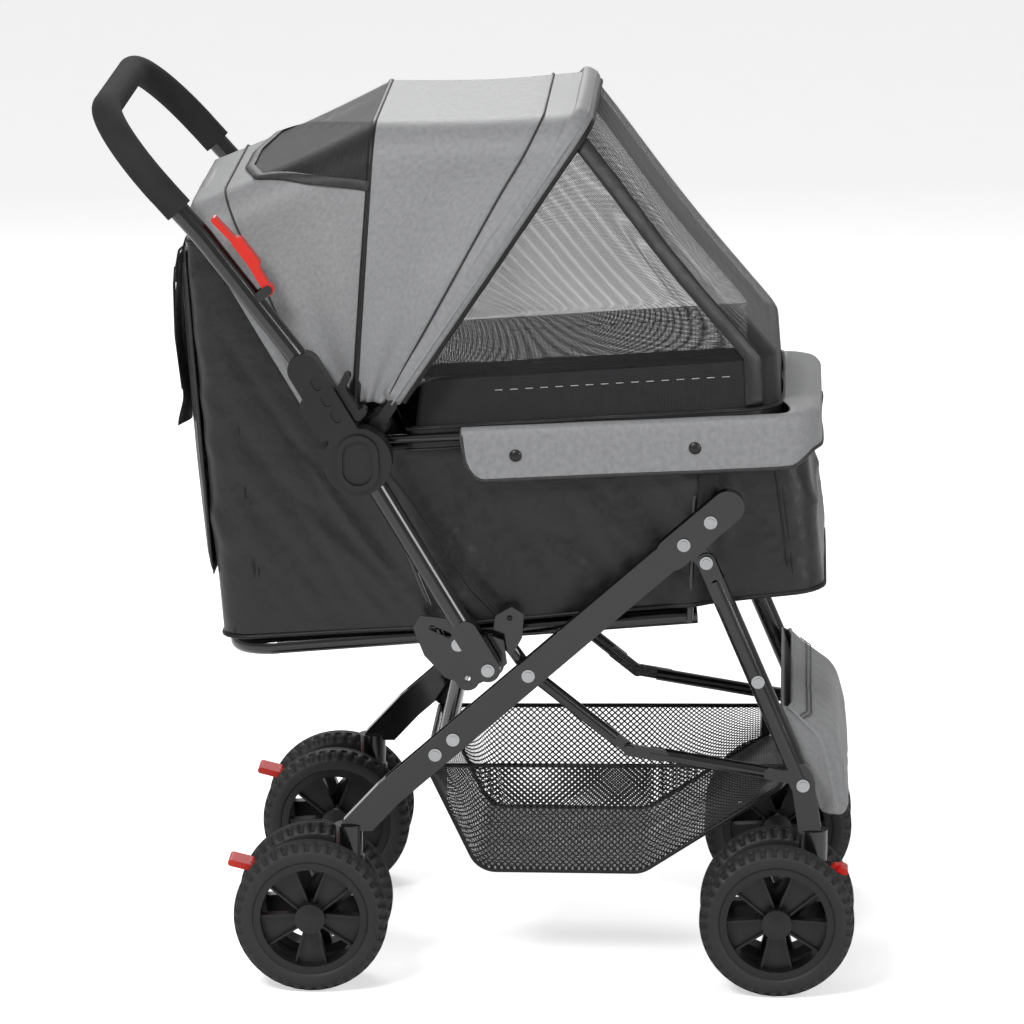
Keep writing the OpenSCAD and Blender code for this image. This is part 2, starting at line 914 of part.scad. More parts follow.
// one bow as a row of balls, for the cover that lies over the bows; each ball's place is
// its distance up the bow and its distance from the middle
module bow_balls(hinge, top, corner_y, foot_y, grow) {
    d = top - hinge;
    l = norm(d);
    lean = (foot_y - 4 - corner_y) / (l / 2);
    bend_y = corner_y + bow_bend * (lean - sqrt(1 + lean * lean));
    on_bend = [for (turn = [90 : -22.5 : 0])
        [l - bow_bend * (1 - cos(turn)), bend_y + bow_bend * sin(turn)]];
    for (s = [-1, 1])
    for (ball = concat([[l * 0.12, foot_y], [l * 0.5, foot_y - 4]], on_bend))
    translate([hinge[0] + d[0] * ball[0] / l, s * ball[1], hinge[1] + d[1] * ball[0] / l])
    sphere(r = bow_r + grow, $fn = 20);
}

module cover_solid(grow) {
    hull() {
        bow_balls(front_hinge, front_top, cabin_y + 7, bow_y, grow);
        bow_balls(mid_hinge, mid_top, cabin_y + 5, bow_y, grow);
        bow_balls(rear_clip, rear_top, cabin_y + 7, bow_y - 14, grow);
    }
}

module canopy_cover() {
    low_cut = at(0, 660)[1];
    slack = 1.9;
    color(grey_cloth)
    difference() {
        cover_solid(slack + cloth_t);
        cover_solid(slack);
        translate([-600, -400, 0])
        cube([1200, 800, low_cut]);
        // open towards the front and the back, inside the bows
        prism([front_hinge + [12, 0], front_top + [30, -9], front_top + [-14, -9], front_hinge + [-10, 30]],
            cabin_y - 6);
        prism([rear_clip + [-60, 0], rear_top + [-30, -12], rear_top + [12, -4], rear_clip + [20, 30]],
            cabin_y + 1);
    }
}

module basket() {
    color(black_cloth)
    difference() {
        prism([at(-86, 224), at(-30, 105), at(146, 105), at(296, 204), at(301, 228)], basket_y);
        prism([at(-86, 224) + [cloth_t + 1, 1], at(-30, 105) + [cloth_t, cloth_t],
            at(146, 105) + [-2, cloth_t], at(296, 204) + [-cloth_t, 1], at(301, 228) + [-cloth_t, 1],
            at(301, 260), at(-86, 260)], basket_y - cloth_t);
    }
}

module front_pocket() {
    color(grey_cloth)
    difference() {
        prism([at(293, 306), at(306, 300), at(352, 270), at(367, 186), at(360, 176), at(337, 190),
            at(318, 246)], mid - 14);
        prism([at(299, 306), at(321, 248), at(340, 193), at(357, 180), at(363, 188), at(349, 268),
            at(349, 330), at(299, 330)], mid - 14 - cloth_t);
    }
}

// ---- fasteners ----
head_r = 7;

module rivet(p, y0, y1, r) {
    across(p, r, y0, y1 + 1);
    across(p, head_r, y1, y1 + 1.6);
    across(p, head_r - 2.5, y1 + 1.5, y1 + 2.6);
}

module rivets_chassis() {
    skin = leg_in + leg_t;
    color(bright)
    both() {
        rivet(at(-15, 354), bracket_in + 2, handle_y + tube_r + 2.5, pin_r);
        rivet(bracket_rivet, bracket_in + bracket_t, bracket_in + bracket_t + 0.5, pin_r);
        for (x = [-73, -54])
        rivet(on_leg(x), skin, skin + 0.5, 3);
        for (x = [190, 218])
        rivet(on_leg(x), skin + 3, skin + 3.5, 3);
        rivet(fold_pin, mid - tube_r - 0.6, mid + tube_r + 0.6, pin_r);
        across(fold_pin, head_r, mid - tube_r - 2.6, mid - tube_r - 0.6);
        rivet(cross_pin, elbow_in - 0.6, skin, pin_r);
        across(cross_pin, head_r, elbow_in - 2.8, elbow_in - 0.6);
        across(on_leg(198), 5, rim_y + 4, leg_in - 0.01);
    }
}

module rivets_front() {
    color(bright)
    both() {
        rivet(low_pin, low_eye_out - eye_t - 0.6, mid + tube_r, pin_r);
        across(low_pin, head_r, low_eye_out - eye_t - 2.6, low_eye_out - eye_t - 0.6);
        rivet(fold_pin + leg_axis * 140, mid + tube_r, mid + tube_r + 0.5, 3);
    }
}

corner(false, true) tyre(1);  // tyre_rl_out
corner(false, true) rim(1);  // rim_rl_out
corner(false, true) tyre(-1);  // tyre_rl_in
corner(false, true) rim(-1);  // rim_rl_in
corner(false, true) caster_fork(false);  // caster_fork_rl
corner(false, true) pedal(false);  // pedal_rl
corner(false, false) tyre(-1);  // tyre_rr_out
corner(false, false) rim(-1);  // rim_rr_out
corner(false, false) tyre(1);  // tyre_rr_in
corner(false, false) rim(1);  // rim_rr_in
corner(false, false) caster_fork(false);  // caster_fork_rr
corner(false, false) pedal(false);  // pedal_rr
corner(true, true) tyre(1);  // tyre_fl_out
corner(true, true) rim(1);  // rim_fl_out
corner(true, true) tyre(-1);  // tyre_fl_in
corner(true, true) rim(-1);  // rim_fl_in
corner(true, true) caster_fork(true);  // caster_fork_fl
corner(true, true) pedal(true);  // pedal_fl
corner(true, false) tyre(-1);  // tyre_fr_out
corner(true, false) rim(-1);  // rim_fr_out
corner(true, false) tyre(1);  // tyre_fr_in
corner(true, false) rim(1);  // rim_fr_in
corner(true, false) caster_fork(true);  // caster_fork_fr
corner(true, false) pedal(true);  // pedal_fr
rear_stems();
front_stems();
rear_leg();  // rear_leg_left
right() rear_leg();  // rear_leg_right
front_leg();  // front_leg_left
right() front_leg();  // front_leg_right
upper_strut();  // upper_strut_left
right() upper_strut();  // upper_strut_right
lower_strut();  // lower_strut_left
right() lower_strut();  // lower_strut_right
pivot_bracket();  // pivot_bracket_left
right() pivot_bracket();  // pivot_bracket_right
release_lever();  // release_lever_left
right() release_lever();  // release_lever_right
lock_slider();  // lock_slider_left
right() lock_slider();  // lock_slider_right
rear_crossbar();
front_crossbar();
seat_base_tube();
rim_tube();
side_struts();
canopy_hubs();
handle_tube();
handle_grip();
lock_housings();
canopy_front_bow();
canopy_mid_bow();
canopy_rear_bow();
cabin_body();
canopy_cover();
mesh_window();
basket();
front_pocket();
cabin_floor();
rivets_chassis();
rivets_front();
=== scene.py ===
# Pet stroller: cloth, net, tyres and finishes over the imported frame.
# Metres. +Z is up, +X is the front, -Y is the stroller's own right side.
import bisect
import json
import math

import bmesh
import bpy
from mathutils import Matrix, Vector, noise


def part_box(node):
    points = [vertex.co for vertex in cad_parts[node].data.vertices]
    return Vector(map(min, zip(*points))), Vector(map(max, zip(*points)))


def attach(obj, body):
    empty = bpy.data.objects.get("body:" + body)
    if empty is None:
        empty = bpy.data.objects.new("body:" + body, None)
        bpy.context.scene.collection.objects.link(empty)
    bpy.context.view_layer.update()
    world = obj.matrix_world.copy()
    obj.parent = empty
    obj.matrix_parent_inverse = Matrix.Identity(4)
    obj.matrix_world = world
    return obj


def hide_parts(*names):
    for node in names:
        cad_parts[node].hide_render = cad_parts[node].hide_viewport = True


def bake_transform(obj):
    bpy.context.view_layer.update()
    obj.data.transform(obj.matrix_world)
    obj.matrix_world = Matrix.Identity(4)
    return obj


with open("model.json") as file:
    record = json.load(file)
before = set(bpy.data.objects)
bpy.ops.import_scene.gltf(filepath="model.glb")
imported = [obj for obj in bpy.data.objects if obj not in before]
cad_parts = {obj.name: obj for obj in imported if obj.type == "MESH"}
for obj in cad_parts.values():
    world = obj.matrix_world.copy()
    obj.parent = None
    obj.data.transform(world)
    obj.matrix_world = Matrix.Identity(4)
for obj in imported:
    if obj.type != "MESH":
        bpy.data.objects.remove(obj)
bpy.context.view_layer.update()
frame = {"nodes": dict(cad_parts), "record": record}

UP = Vector((0, 0, 1))
AHEAD = Vector((1, 0, 0))
ACROSS = Vector((0, 1, 0))


def middle_of(node):
    low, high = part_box(node)
    return (Vector(low) + Vector(high)) / 2


# the front caster axis is 329.5 mm ahead of the side view's own zero
MIDDLE_X = middle_of("front_stems").x * 1000 - 329.5


def at(x, z, y=0.0):
    """A place on the stroller from the side view's millimetres."""
    return Vector(((x + MIDDLE_X) / 1000, y / 1000, z / 1000))


def ease(t):
    t = min(max(t, 0.0), 1.0)
    return t * t * (3 - 2 * t)


def between(table, x):
    """Reads a table of (x, value) pairs, straight between its rows."""
    if x <= table[0][0]:
        return table[0][1]
    for (a, low), (b, high) in zip(table, table[1:]):
        if x <= b:
            return low + (high - low) * (x - a) / (b - a)
    return table[-1][1]


# ---- paths ----
def rounded(corners, bend):
    """Points along a path whose corners are rounded off."""
    path = [corners[0]]
    for a, b, c in zip(corners, corners[1:], corners[2:]):
        before, after = (b - a).normalized(), (c - b).normalized()
        turn = before.angle(after, 0.0)
        if turn < 0.01:
            path.append(b)
            continue
        cut = min(bend * math.tan(turn / 2), 0.49 * (b - a).length, 0.49 * (c - b).length)
        radius = cut / math.tan(turn / 2)
        centre = b + (after - before).normalized() * (radius / math.cos(turn / 2))
        first = (b - before * cut - centre).normalized()
        last = (b + after * cut - centre).normalized()
        steps = max(3, int(turn / 0.13))
        path += [centre + first.slerp(last, i / steps) * radius for i in range(steps + 1)]
    path.append(corners[-1])
    return path


def route(points):
    """The place a share of the way along a path."""
    far = [0.0]
    for a, b in zip(points, points[1:]):
        far.append(far[-1] + (b - a).length)

    def place(share):
        want = min(max(share, 0.0), 1.0) * far[-1]
        i = min(max(bisect.bisect_right(far, want), 1), len(points) - 1)
        span = (far[i] - far[i - 1]) or 1.0
        return points[i - 1].lerp(points[i], (want - far[i - 1]) / span)

    return place


CORNER = 0.31


def arch(points):
    """A path over the stroller whose two top corners are at shares 0.31 and 0.69."""
    place = route(points)
    tries = [i / 400 for i in range(201)]
    start, middle = place(0), place(0.5)
    down = (start - middle)
    down.y = 0
    reach = down.length or 1.0
    side = abs(start.y) or 1.0

    def outness(share):
        p = place(share)
        high = 1 - ((p - middle).dot(down) / reach) / reach
        return high + abs(p.y) / side

    corner = max(tries, key=outness)

    def over(v):
        w = v if v <= 0.5 else 1 - v
        share = corner * w / CORNER if w < CORNER else corner + (0.5 - corner) * (w - CORNER) / (0.5 - CORNER)
        return place(share if v <= 0.5 else 1 - share)

    return over


# each bow: hinge, top, half width at its corners, half width at its feet
FRONT_BOW = (at(-132, 610), at(84, 930), 0.172, 0.200)
MID_BOW = (at(-157, 627), at(-138, 917), 0.170, 0.200)
REAR_BOW = (at(-186, 594), at(-328, 829), 0.172, 0.186)
BOW_BEND = 0.042
BOW_R = 0.0045


def bow_path(bow, grow=0.0, low=0.1, forward=0.0):
    """The line of a bow, made larger by grow and moved forward square to its lean."""
    hinge, top, corner, foot = bow
    tall = (top - hinge).length
    rise = (top - hinge) / tall
    fore = Vector((rise.z, 0, -rise.x))
    flat = [
        (-foot - grow, low * tall), (-foot + 0.004 - grow, 0.5 * tall), (-corner - grow, tall + grow),
        (corner + grow, tall + grow), (foot - 0.004 + grow, 0.5 * tall), (foot + grow, low * tall),
    ]
    corners = [hinge + rise * h + ACROSS * y + fore * forward for y, h in flat]
    return rounded(corners, BOW_BEND + grow)


# ---- making pieces ----
def keep(name, bm, finishes):
    mesh = bpy.data.meshes.new(name)
    bm.to_mesh(mesh)
    bm.free()
    obj = bpy.data.objects.new(name, mesh)
    bpy.context.scene.collection.objects.link(obj)
    for finish in finishes:
        mesh.materials.append(finish)
    for face in mesh.polygons:
        face.use_smooth = True
    return obj


def settle(obj):
    """Takes the modifiers into the mesh."""
    bpy.context.view_layer.update()
    graph = bpy.context.evaluated_depsgraph_get()
    mesh = bpy.data.meshes.new_from_object(obj.evaluated_get(graph), preserve_all_data_layers=True,
                                           depsgraph=graph)
    mesh.name = obj.name
    obj.modifiers.clear()
    obj.data = mesh
    return obj


def spread(name, place, across, along, size, finishes, thick=0.001, smooth=1, closed=False, which=None):
    """A cloth that starts as a flat grid and is laid where place(u, v) says. size is its flat
    width and length, which the weave follows; which(u, v) picks the finish of each face."""
    bm = bmesh.new()
    bmesh.ops.create_grid(bm, x_segments=across, y_segments=along, size=0.5)
    weave = bm.loops.layers.uv.new("weave")
    for face in bm.faces:
        if which:
            middle = face.calc_center_median()
            face.material_index = which(middle.x + 0.5, middle.y + 0.5)
        for loop in face.loops:
            loop[weave].uv = ((loop.vert.co.x + 0.5) * size[0], (loop.vert.co.y + 0.5) * size[1])
    for vert in bm.verts:
        vert.co = place(vert.co.x + 0.5, vert.co.y + 0.5)
    if closed:
        bmesh.ops.remove_doubles(bm, verts=bm.verts, dist=0.00005)
    bmesh.ops.recalc_face_normals(bm, faces=bm.faces)
    obj = keep(name, bm, finishes)
    if smooth:
        soften = obj.modifiers.new("soften", "SUBSURF")
        soften.levels = soften.render_levels = smooth
        soften.boundary_smooth = "PRESERVE_CORNERS"
    wall = obj.modifiers.new("wall", "SOLIDIFY")
    wall.thickness = thick
    wall.offset = 0
    return settle(obj)


def piped(name, path, radius, finish, closed=False):
    """A round edging laid along a path."""
    line = bpy.data.curves.new(name, "CURVE")
    line.dimensions = "3D"
    line.bevel_depth = radius
    line.bevel_resolution = 2
    line.use_fill_caps = not closed
    spline = line.splines.new("POLY")
    spline.points.add(len(path) - 1)
    for point, place in zip(spline.points, path):
        point.co = (*place, 1)
    spline.use_cyclic_u = closed
    drawn = bpy.data.objects.new(name + "_line", line)
    bpy.context.scene.collection.objects.link(drawn)
    bpy.context.view_layer.update()
    graph = bpy.context.evaluated_depsgraph_get()
    mesh = bpy.data.meshes.new_from_object(drawn.evaluated_get(graph), depsgraph=graph)
    mesh.name = name
    bpy.data.objects.remove(drawn)
    obj = bpy.data.objects.new(name, mesh)
    bpy.context.scene.collection.objects.link(obj)
    mesh.materials.clear()
    mesh.materials.append(finish)
    for face in mesh.polygons:
        face.use_smooth = True
    return obj


def tape(name, path, wide, width, thick, finish, steps=60):
    """A flat webbing or binding along a path. wide(t) is the direction of its width."""
    place = route(path)
    length = sum((b - a).length for a, b in zip(path, path[1:]))
    return spread(name, lambda u, v: place(v) + wide(v) * ((u - 0.5) * width), 4, steps, (width, length),
                  [finish], thick, smooth=0)


def joined(name, pieces):
    """Makes one piece of several meshes that share a finish list."""
    bm = bmesh.new()
    for piece in pieces:
        bm.from_mesh(piece.data)
    finishes = list(pieces[0].data.materials)
    for piece in pieces:
        bpy.data.objects.remove(piece)
    return keep(name, bm, finishes)


def give(obj, body, slot, *nodes):
    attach(obj, body)
    if nodes:
        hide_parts(*nodes)
    return obj


# ---- finishes ----
def group(name, inputs, outputs):
    tree = bpy.data.node_groups.new(name, "ShaderNodeTree")
    for label, kind, value in inputs:
        socket = tree.interface.new_socket(label, in_out="INPUT", socket_type=kind)
        if value is not None:
            socket.default_value = value
    for label, kind in outputs:
        tree.interface.new_socket(label, in_out="OUTPUT", socket_type=kind)
    return tree, tree.nodes.new("NodeGroupInput"), tree.nodes.new("NodeGroupOutput")


def sum_node(tree, operation, a, b=None):
    node = tree.nodes.new("ShaderNodeMath")
    node.operation = operation
    for socket, value in zip(node.inputs, (a, b)):
        if value is None:
            continue
        if isinstance(value, (int, float)):
            socket.default_value = value
        else:
            tree.links.new(value, socket)
    return node.outputs[0]


def ranged(tree, value, low, high, to_low, to_high):
    node = tree.nodes.new("ShaderNodeMapRange")
    tree.links.new(value, node.inputs["Value"])
    for label, number in (("From Min", low), ("From Max", high), ("To Min", to_low), ("To Max", to_high)):
        node.inputs[label].default_value = number
    return node.outputs["Result"]


def noise_node(tree, vector, scale, detail=3.0, rough=0.55):
    node = tree.nodes.new("ShaderNodeTexNoise")
    tree.links.new(vector, node.inputs["Vector"])
    node.inputs["Scale"].default_value = scale
    node.inputs["Detail"].default_value = detail
    node.inputs["Roughness"].default_value = rough
    return node.outputs["Fac"]


def build_weave_group():
    """Over-and-under threads a set number to the metre."""
    tree, given, result = group("woven_threads",
                                [("Vector", "NodeSocketVector", None), ("Threads", "NodeSocketFloat", 900.0)],
                                [("Height", "NodeSocketFloat"), ("Shade", "NodeSocketFloat")])
    parts = tree.nodes.new("ShaderNodeSeparateXYZ")
    tree.links.new(given.outputs["Vector"], parts.inputs[0])
    turns = sum_node(tree, "MULTIPLY", given.outputs["Threads"], math.pi)
    warp = sum_node(tree, "SINE", sum_node(tree, "MULTIPLY", parts.outputs["X"], turns))
    weft = sum_node(tree, "SINE", sum_node(tree, "MULTIPLY", parts.outputs["Y"], turns))
    cross = sum_node(tree, "MULTIPLY", warp, weft)
    tree.links.new(ranged(tree, cross, -1, 1, 0, 1), result.inputs["Height"])
    slub = noise_node(tree, given.outputs["Vector"], 160.0, 4.0)
    tree.links.new(ranged(tree, slub, 0.3, 0.7, 0, 1), result.inputs["Shade"])
    return tree


def build_net_group():
    """The threads of an open net, as a mask, with a set pitch and thread share."""
    tree, given, result = group("net_threads",
                                [("Vector", "NodeSocketVector", None), ("Pitch", "NodeSocketFloat", 0.0016),
                                ("Thread", "NodeSocketFloat", 0.35)], [("Mask", "NodeSocketFloat")])
    parts = tree.nodes.new("ShaderNodeSeparateXYZ")
    tree.links.new(given.outputs["Vector"], parts.inputs[0])
    turns = sum_node(tree, "DIVIDE", math.pi, given.outputs["Pitch"])
    waves = []
    for axis in "XY":
        wave = sum_node(tree, "SINE", sum_node(tree, "MULTIPLY", parts.outputs[axis], turns))
        waves.append(sum_node(tree, "ABSOLUTE", wave))
    nearest = sum_node(tree, "MINIMUM", waves[0], waves[1])
    tree.links.new(sum_node(tree, "LESS_THAN", nearest, given.outputs["Thread"]), result.inputs["Mask"])
    return tree


def build_grain_group():
    """Fine moulded or sprayed grain, and the slow unevenness of a handled surface."""
    tree, given, result = group("surface_grain",
                                [("Vector", "NodeSocketVector", None),
                                 ("Fineness", "NodeSocketFloat", 900.0)],
                                [("Height", "NodeSocketFloat"), ("Patch", "NodeSocketFloat")])
    fine = tree.nodes.new("ShaderNodeTexNoise")
    tree.links.new(given.outputs["Vector"], fine.inputs["Vector"])
    tree.links.new(given.outputs["Fineness"], fine.inputs["Scale"])
    fine.inputs["Detail"].default_value = 2.0
    tree.links.new(fine.outputs["Fac"], result.inputs["Height"])
    slow = noise_node(tree, given.outputs["Vector"], 14.0, 5.0)
    tree.links.new(ranged(tree, slow, 0.3, 0.7, 0, 1), result.inputs["Patch"])
    return tree


WEAVE = build_weave_group()
NET = build_net_group()
GRAIN = build_grain_group()


class Finish:
    """One material: its node tree, its shader and where its pattern is read from."""

    def __init__(self, name, uv=False):
        self.material = bpy.data.materials.new(name)
        self.material.use_nodes = True
        self.tree = self.material.node_tree
        self.shader = self.tree.nodes["Principled BSDF"]
        place = self.tree.nodes.new("ShaderNodeTexCoord")
        self.place = place.outputs["UV" if uv else "Object"]
        self.object_place = place.outputs["Object"]

    def set(self, **values):
        for label, value in values.items():
            self.shader.inputs[label.replace("_", " ")].default_value = value
        return self

    def use(self, tree, vector=None, **values):
        node = self.tree.nodes.new("ShaderNodeGroup")
        node.node_tree = tree
        self.tree.links.new(vector or self.place, node.inputs["Vector"])
        for label, value in values.items():
            node.inputs[label].default_value = value
        return node

    def colour(self, mask, low, high):
        """Base colour from low to high as the mask goes from 0 to 1."""
        mix = self.tree.nodes.new("ShaderNodeMix")
        mix.data_type = "RGBA"
        self.tree.links.new(mask, mix.inputs["Factor"])
        mix.inputs["A"].default_value = (*low, 1)
        mix.inputs["B"].default_value = (*high, 1)
        self.tree.links.new(mix.outputs["Result"], self.shader.inputs["Base Color"])
        return mix

    def rough(self, mask, low, high):
        self.tree.links.new(ranged(self.tree, mask, 0, 1, low, high), self.shader.inputs["Roughness"])

    def bump(self, height, strength, distance, before=None):
        node = self.tree.nodes.new("ShaderNodeBump")
        node.inputs["Strength"].default_value = strength
        node.inputs["Distance"].default_value = distance
        self.tree.links.new(height, node.inputs["Height"])
        if before:
            self.tree.links.new(before, node.inputs["Normal"])
        self.tree.links.new(node.outputs["Normal"], self.shader.inputs["Normal"])
        return node.outputs["Normal"]


def woven(name, low, high, rough, threads=900.0, sheen=0.3, uv=True, crumple=0.25, shine=0.35):
    """Polyester or canvas: weave, slubs and soft creasing."""
    f = Finish(name, uv).set(Sheen_Weight=sheen, Sheen_Roughness=0.4, Specular_IOR_Level=shine)
    weave = f.use(WEAVE, Threads=threads)
    f.colour(weave.outputs["Shade"], low, high)
    f.rough(weave.outputs["Shade"], rough - 0.06, rough + 0.08)
    creases = noise_node(f.tree, f.object_place, 26.0, 3.0, 0.5)
    first = f.bump(creases, crumple, 0.004)
    f.bump(weave.outputs["Height"], 0.35, 0.00025, first)
    return f.material


def netted(name, colour, pitch, thread, turned=0.0, rough=0.6):
    """Open net: threads with clear holes between them."""
    f = Finish(name, True).set(Sheen_Weight=0.2, Specular_IOR_Level=0.3)
    turn = f.tree.nodes.new("ShaderNodeMapping")
    turn.inputs["Rotation"].default_value = (0, 0, turned)
    f.tree.links.new(f.place, turn.inputs["Vector"])
    net = f.use(NET, turn.outputs["Vector"], Pitch=pitch, Thread=thread)
    f.tree.links.new(net.outputs["Mask"], f.shader.inputs["Alpha"])
    slub = noise_node(f.tree, f.object_place, 70.0)
    f.colour(slub, colour, tuple(2.2 * c for c in colour))
    f.rough(slub, rough - 0.08, rough + 0.1)
    return f.material


def moulded(name, low, high, rough_low, rough_high, fineness, strength, distance=0.0002, **values):
    """Moulded, sprayed or foamed: grain and slow changes in gloss."""
    f = Finish(name).set(**values)
    grain = f.use(GRAIN, Fineness=fineness)
    f.colour(grain.outputs["Patch"], low, high)
    f.rough(grain.outputs["Patch"], rough_low, rough_high)
    f.bump(grain.outputs["Height"], strength, distance)
    return f.material


GREY = woven("grey_polyester", (0.205, 0.207, 0.212), (0.265, 0.267, 0.272), 0.52, 800.0, 0.12, crumple=0.35)
GREY_HEM = woven("grey_hem", (0.20, 0.202, 0.206), (0.255, 0.257, 0.262), 0.55, 800.0, 0.12)
BLACK = woven("black_polyester", (0.0055, 0.0055, 0.006), (0.010, 0.010, 0.011), 0.36, 900.0, 0.08,
              crumple=0.6, shine=0.55)
LINING = woven("black_lining", (0.010, 0.010, 0.011), (0.018, 0.018, 0.019), 0.7, 900.0, 0.08)
BINDING = woven("black_binding", (0.006, 0.006, 0.0065), (0.012, 0.012, 0.013), 0.48, 500.0, 0.05, uv=False,
                crumple=0.1)
GREY_BINDING = woven("dark_grey_binding", (0.022, 0.022, 0.023), (0.040, 0.040, 0.042), 0.55, 500.0, 0.05,
                     uv=False, crumple=0.1)
THREAD = woven("pale_thread", (0.30, 0.30, 0.31), (0.42, 0.42, 0.43), 0.6, 500.0, 0.1, uv=False, crumple=0.0)
NET_FINE = netted("fine_window_net", (0.012, 0.012, 0.013), 0.0017, 0.30)
NET_DOUBLE = netted("doubled_window_net", (0.010, 0.010, 0.011), 0.0017, 0.78)
NET_CLOSE = netted("close_net", (0.012, 0.012, 0.013), 0.0017, 0.46)
NET_BASKET = netted("basket_net", (0.009, 0.009, 0.0095), 0.0052, 0.5, math.radians(45))
PAINT = moulded("black_gloss_paint", (0.003, 0.003, 0.0032), (0.006, 0.006, 0.0065), 0.12, 0.24, 700.0, 0.04,
                Coat_Weight=0.5, Coat_Roughness=0.08, Specular_IOR_Level=0.6)
PLASTIC = moulded("black_moulded_plastic", (0.005, 0.005, 0.0055), (0.010, 0.010, 0.0105), 0.28, 0.44,
                  1500.0, 0.18)
FOAM = moulded("foam_grip", (0.016, 0.016, 0.017), (0.030, 0.030, 0.031), 0.85, 0.98, 1300.0, 0.6, 0.0005,
               Specular_IOR_Level=0.25)
RED = moulded("red_moulded_plastic", (0.50, 0.012, 0.006), (0.64, 0.020, 0.009), 0.26, 0.40, 1500.0, 0.08)
BRIGHT = moulded("bright_zinc", (0.42, 0.43, 0.44), (0.56, 0.57, 0.58), 0.16, 0.32, 900.0, 0.05, Metallic=1.0)
RUBBER = moulded("tyre_rubber", (0.010, 0.010, 0.010), (0.020, 0.020, 0.020), 0.5, 0.72, 1100.0, 0.35)
TEETH = moulded("zip_teeth", (0.02, 0.02, 0.021), (0.035, 0.035, 0.037), 0.3, 0.5, 700.0, 0.6, 0.0006)

FINISH_OF_SLOT = {
    "black_steel": PAINT, "black_plastic": PLASTIC, "tyre_black": RUBBER, "foam": FOAM, "red_plastic": RED,
    "bright_steel": BRIGHT, "grey_cloth": GREY_HEM, "black_cloth": LINING, "net": BINDING,
}
slot_of = {row["node"]: row["material_slot"] for row in frame["record"]["subparts"]}
for node, obj in frame["nodes"].items():
    finish = FINISH_OF_SLOT[slot_of[node]]
    if node in ("canopy_front_bow", "canopy_mid_bow", "canopy_rear_bow"):
        finish = PLASTIC
    if not obj.material_slots:
        obj.data.materials.append(finish)
    for place in obj.material_slots:
        place.material = finish


# ---- canopy ----
COVER_GROW = BOW_R + 0.0022
rear_arch = arch(bow_path(REAR_BOW, COVER_GROW, 0.10))
mid_arch = arch(bow_path(MID_BOW, COVER_GROW, 0.03))
front_arch = arch(bow_path(FRONT_BOW, COVER_GROW, 0.07))
MID_SHARE = 0.46
HUB = at(-150, 605)
CANOPY_HEART = at(-120, 690)


def canopy_place(u, v):
    """The cover over its three bows: u runs from the rear bow to the front bow."""
    if u < MID_SHARE:
        s = u / MID_SHARE
        base = rear_arch(v).lerp(mid_arch(v), s)
    else:
        s = (u - MID_SHARE) / (1 - MID_SHARE)
        base = mid_arch(v).lerp(front_arch(v), s)
    side = ease((CORNER + 0.02 - min(v, 1 - v)) / 0.1)
    inward = Vector((0, -1 if base.y > 0 else 1, 0)).lerp(-UP, 1 - side).normalized()
    span = math.sin(math.pi * s)
    sag = 0.0035 + 0.0045 * side
    away = (base - HUB).xz
    spoke = math.atan2(away.y, away.x)
    hub_fold = math.sin(spoke * 17 + 3 * noise.noise(base * 9)) * 0.0034 * math.exp(-away.length / 0.16)
    slant = Vector((base.x * 9 - base.z * 16, base.z * 3 + base.x * 3, base.y * 2.0))
    crease = noise.noise(slant) * 0.0042 * (0.35 + 0.65 * side)
    return base + inward * (span * sag + span * (hub_fold * side + crease))


# the roof vent lies between the rear and middle bows, wider at the middle one
VENT_EDGE = [(0.13, 0.445), (0.17, 0.345), (0.30, 0.305), (MID_SHARE, 0.262)]


def vent_low(u):
    return between(VENT_EDGE, u)


def canopy_finish(u, v):
    inside = VENT_EDGE[0][0] < u < MID_SHARE and vent_low(u) < min(v, 1 - v)
    return 1 if inside else 0


canopy = spread("canopy_fabric", canopy_place, 74, 130, (0.47, 1.02), [GREY, NET_CLOSE], 0.0009,
                which=canopy_finish)


def on_canopy(u, v, out=0.0015):
    """A place just outside the cover."""
    here = canopy_place(u, v)
    du, dv = canopy_place(min(u + 0.01, 1), v) - here, canopy_place(u, min(v + 0.01, 1)) - here
    normal = dv.cross(du).normalized()
    if normal.dot(here - CANOPY_HEART) < 0:
        normal.negate()
    return here + normal * out


def canopy_strip(name, line, width, finish, out=0.0016, steps=70):
    """Binding laid on the cover: line(t) gives its (u, v), width is in metres."""
    def place(across, t):
        u, v = line(t)
        u2, v2 = line(min(t + 0.01, 1.0))
        u1, v1 = line(max(t - 0.01, 0.0))
        tangent = on_canopy(u2, v2, out) - on_canopy(u1, v1, out)
        here = on_canopy(u, v, out)
        normal = (on_canopy(u, v, out + 0.01) - here).normalized()
        side = tangent.cross(normal).normalized()
        return here + side * ((across - 0.5) * width) + normal * (0.0012 * math.sin(math.pi * across))
    return spread(name, place, 6, steps, (width, 0.5), [finish], 0.0008, smooth=0)


def vent_line(t):
    """Round the vent: up one side from the middle bow, across, and down the other."""
    rows = list(reversed(VENT_EDGE)) + [(u, 1 - v) for u, v in VENT_EDGE]
    far = t * (len(rows) - 1)
    i = min(int(far), len(rows) - 2)
    share = far - i
    return tuple(a + (b - a) * share for a, b in zip(rows[i], rows[i + 1]))


def arch_piece(name, bow, radius, finish, body, grow=0.0, low=0.1, forward=0.0, slot="black_cloth"):
    obj = piped(name, bow_path(bow, grow, low, forward), radius, finish)
    return give(obj, body, slot)


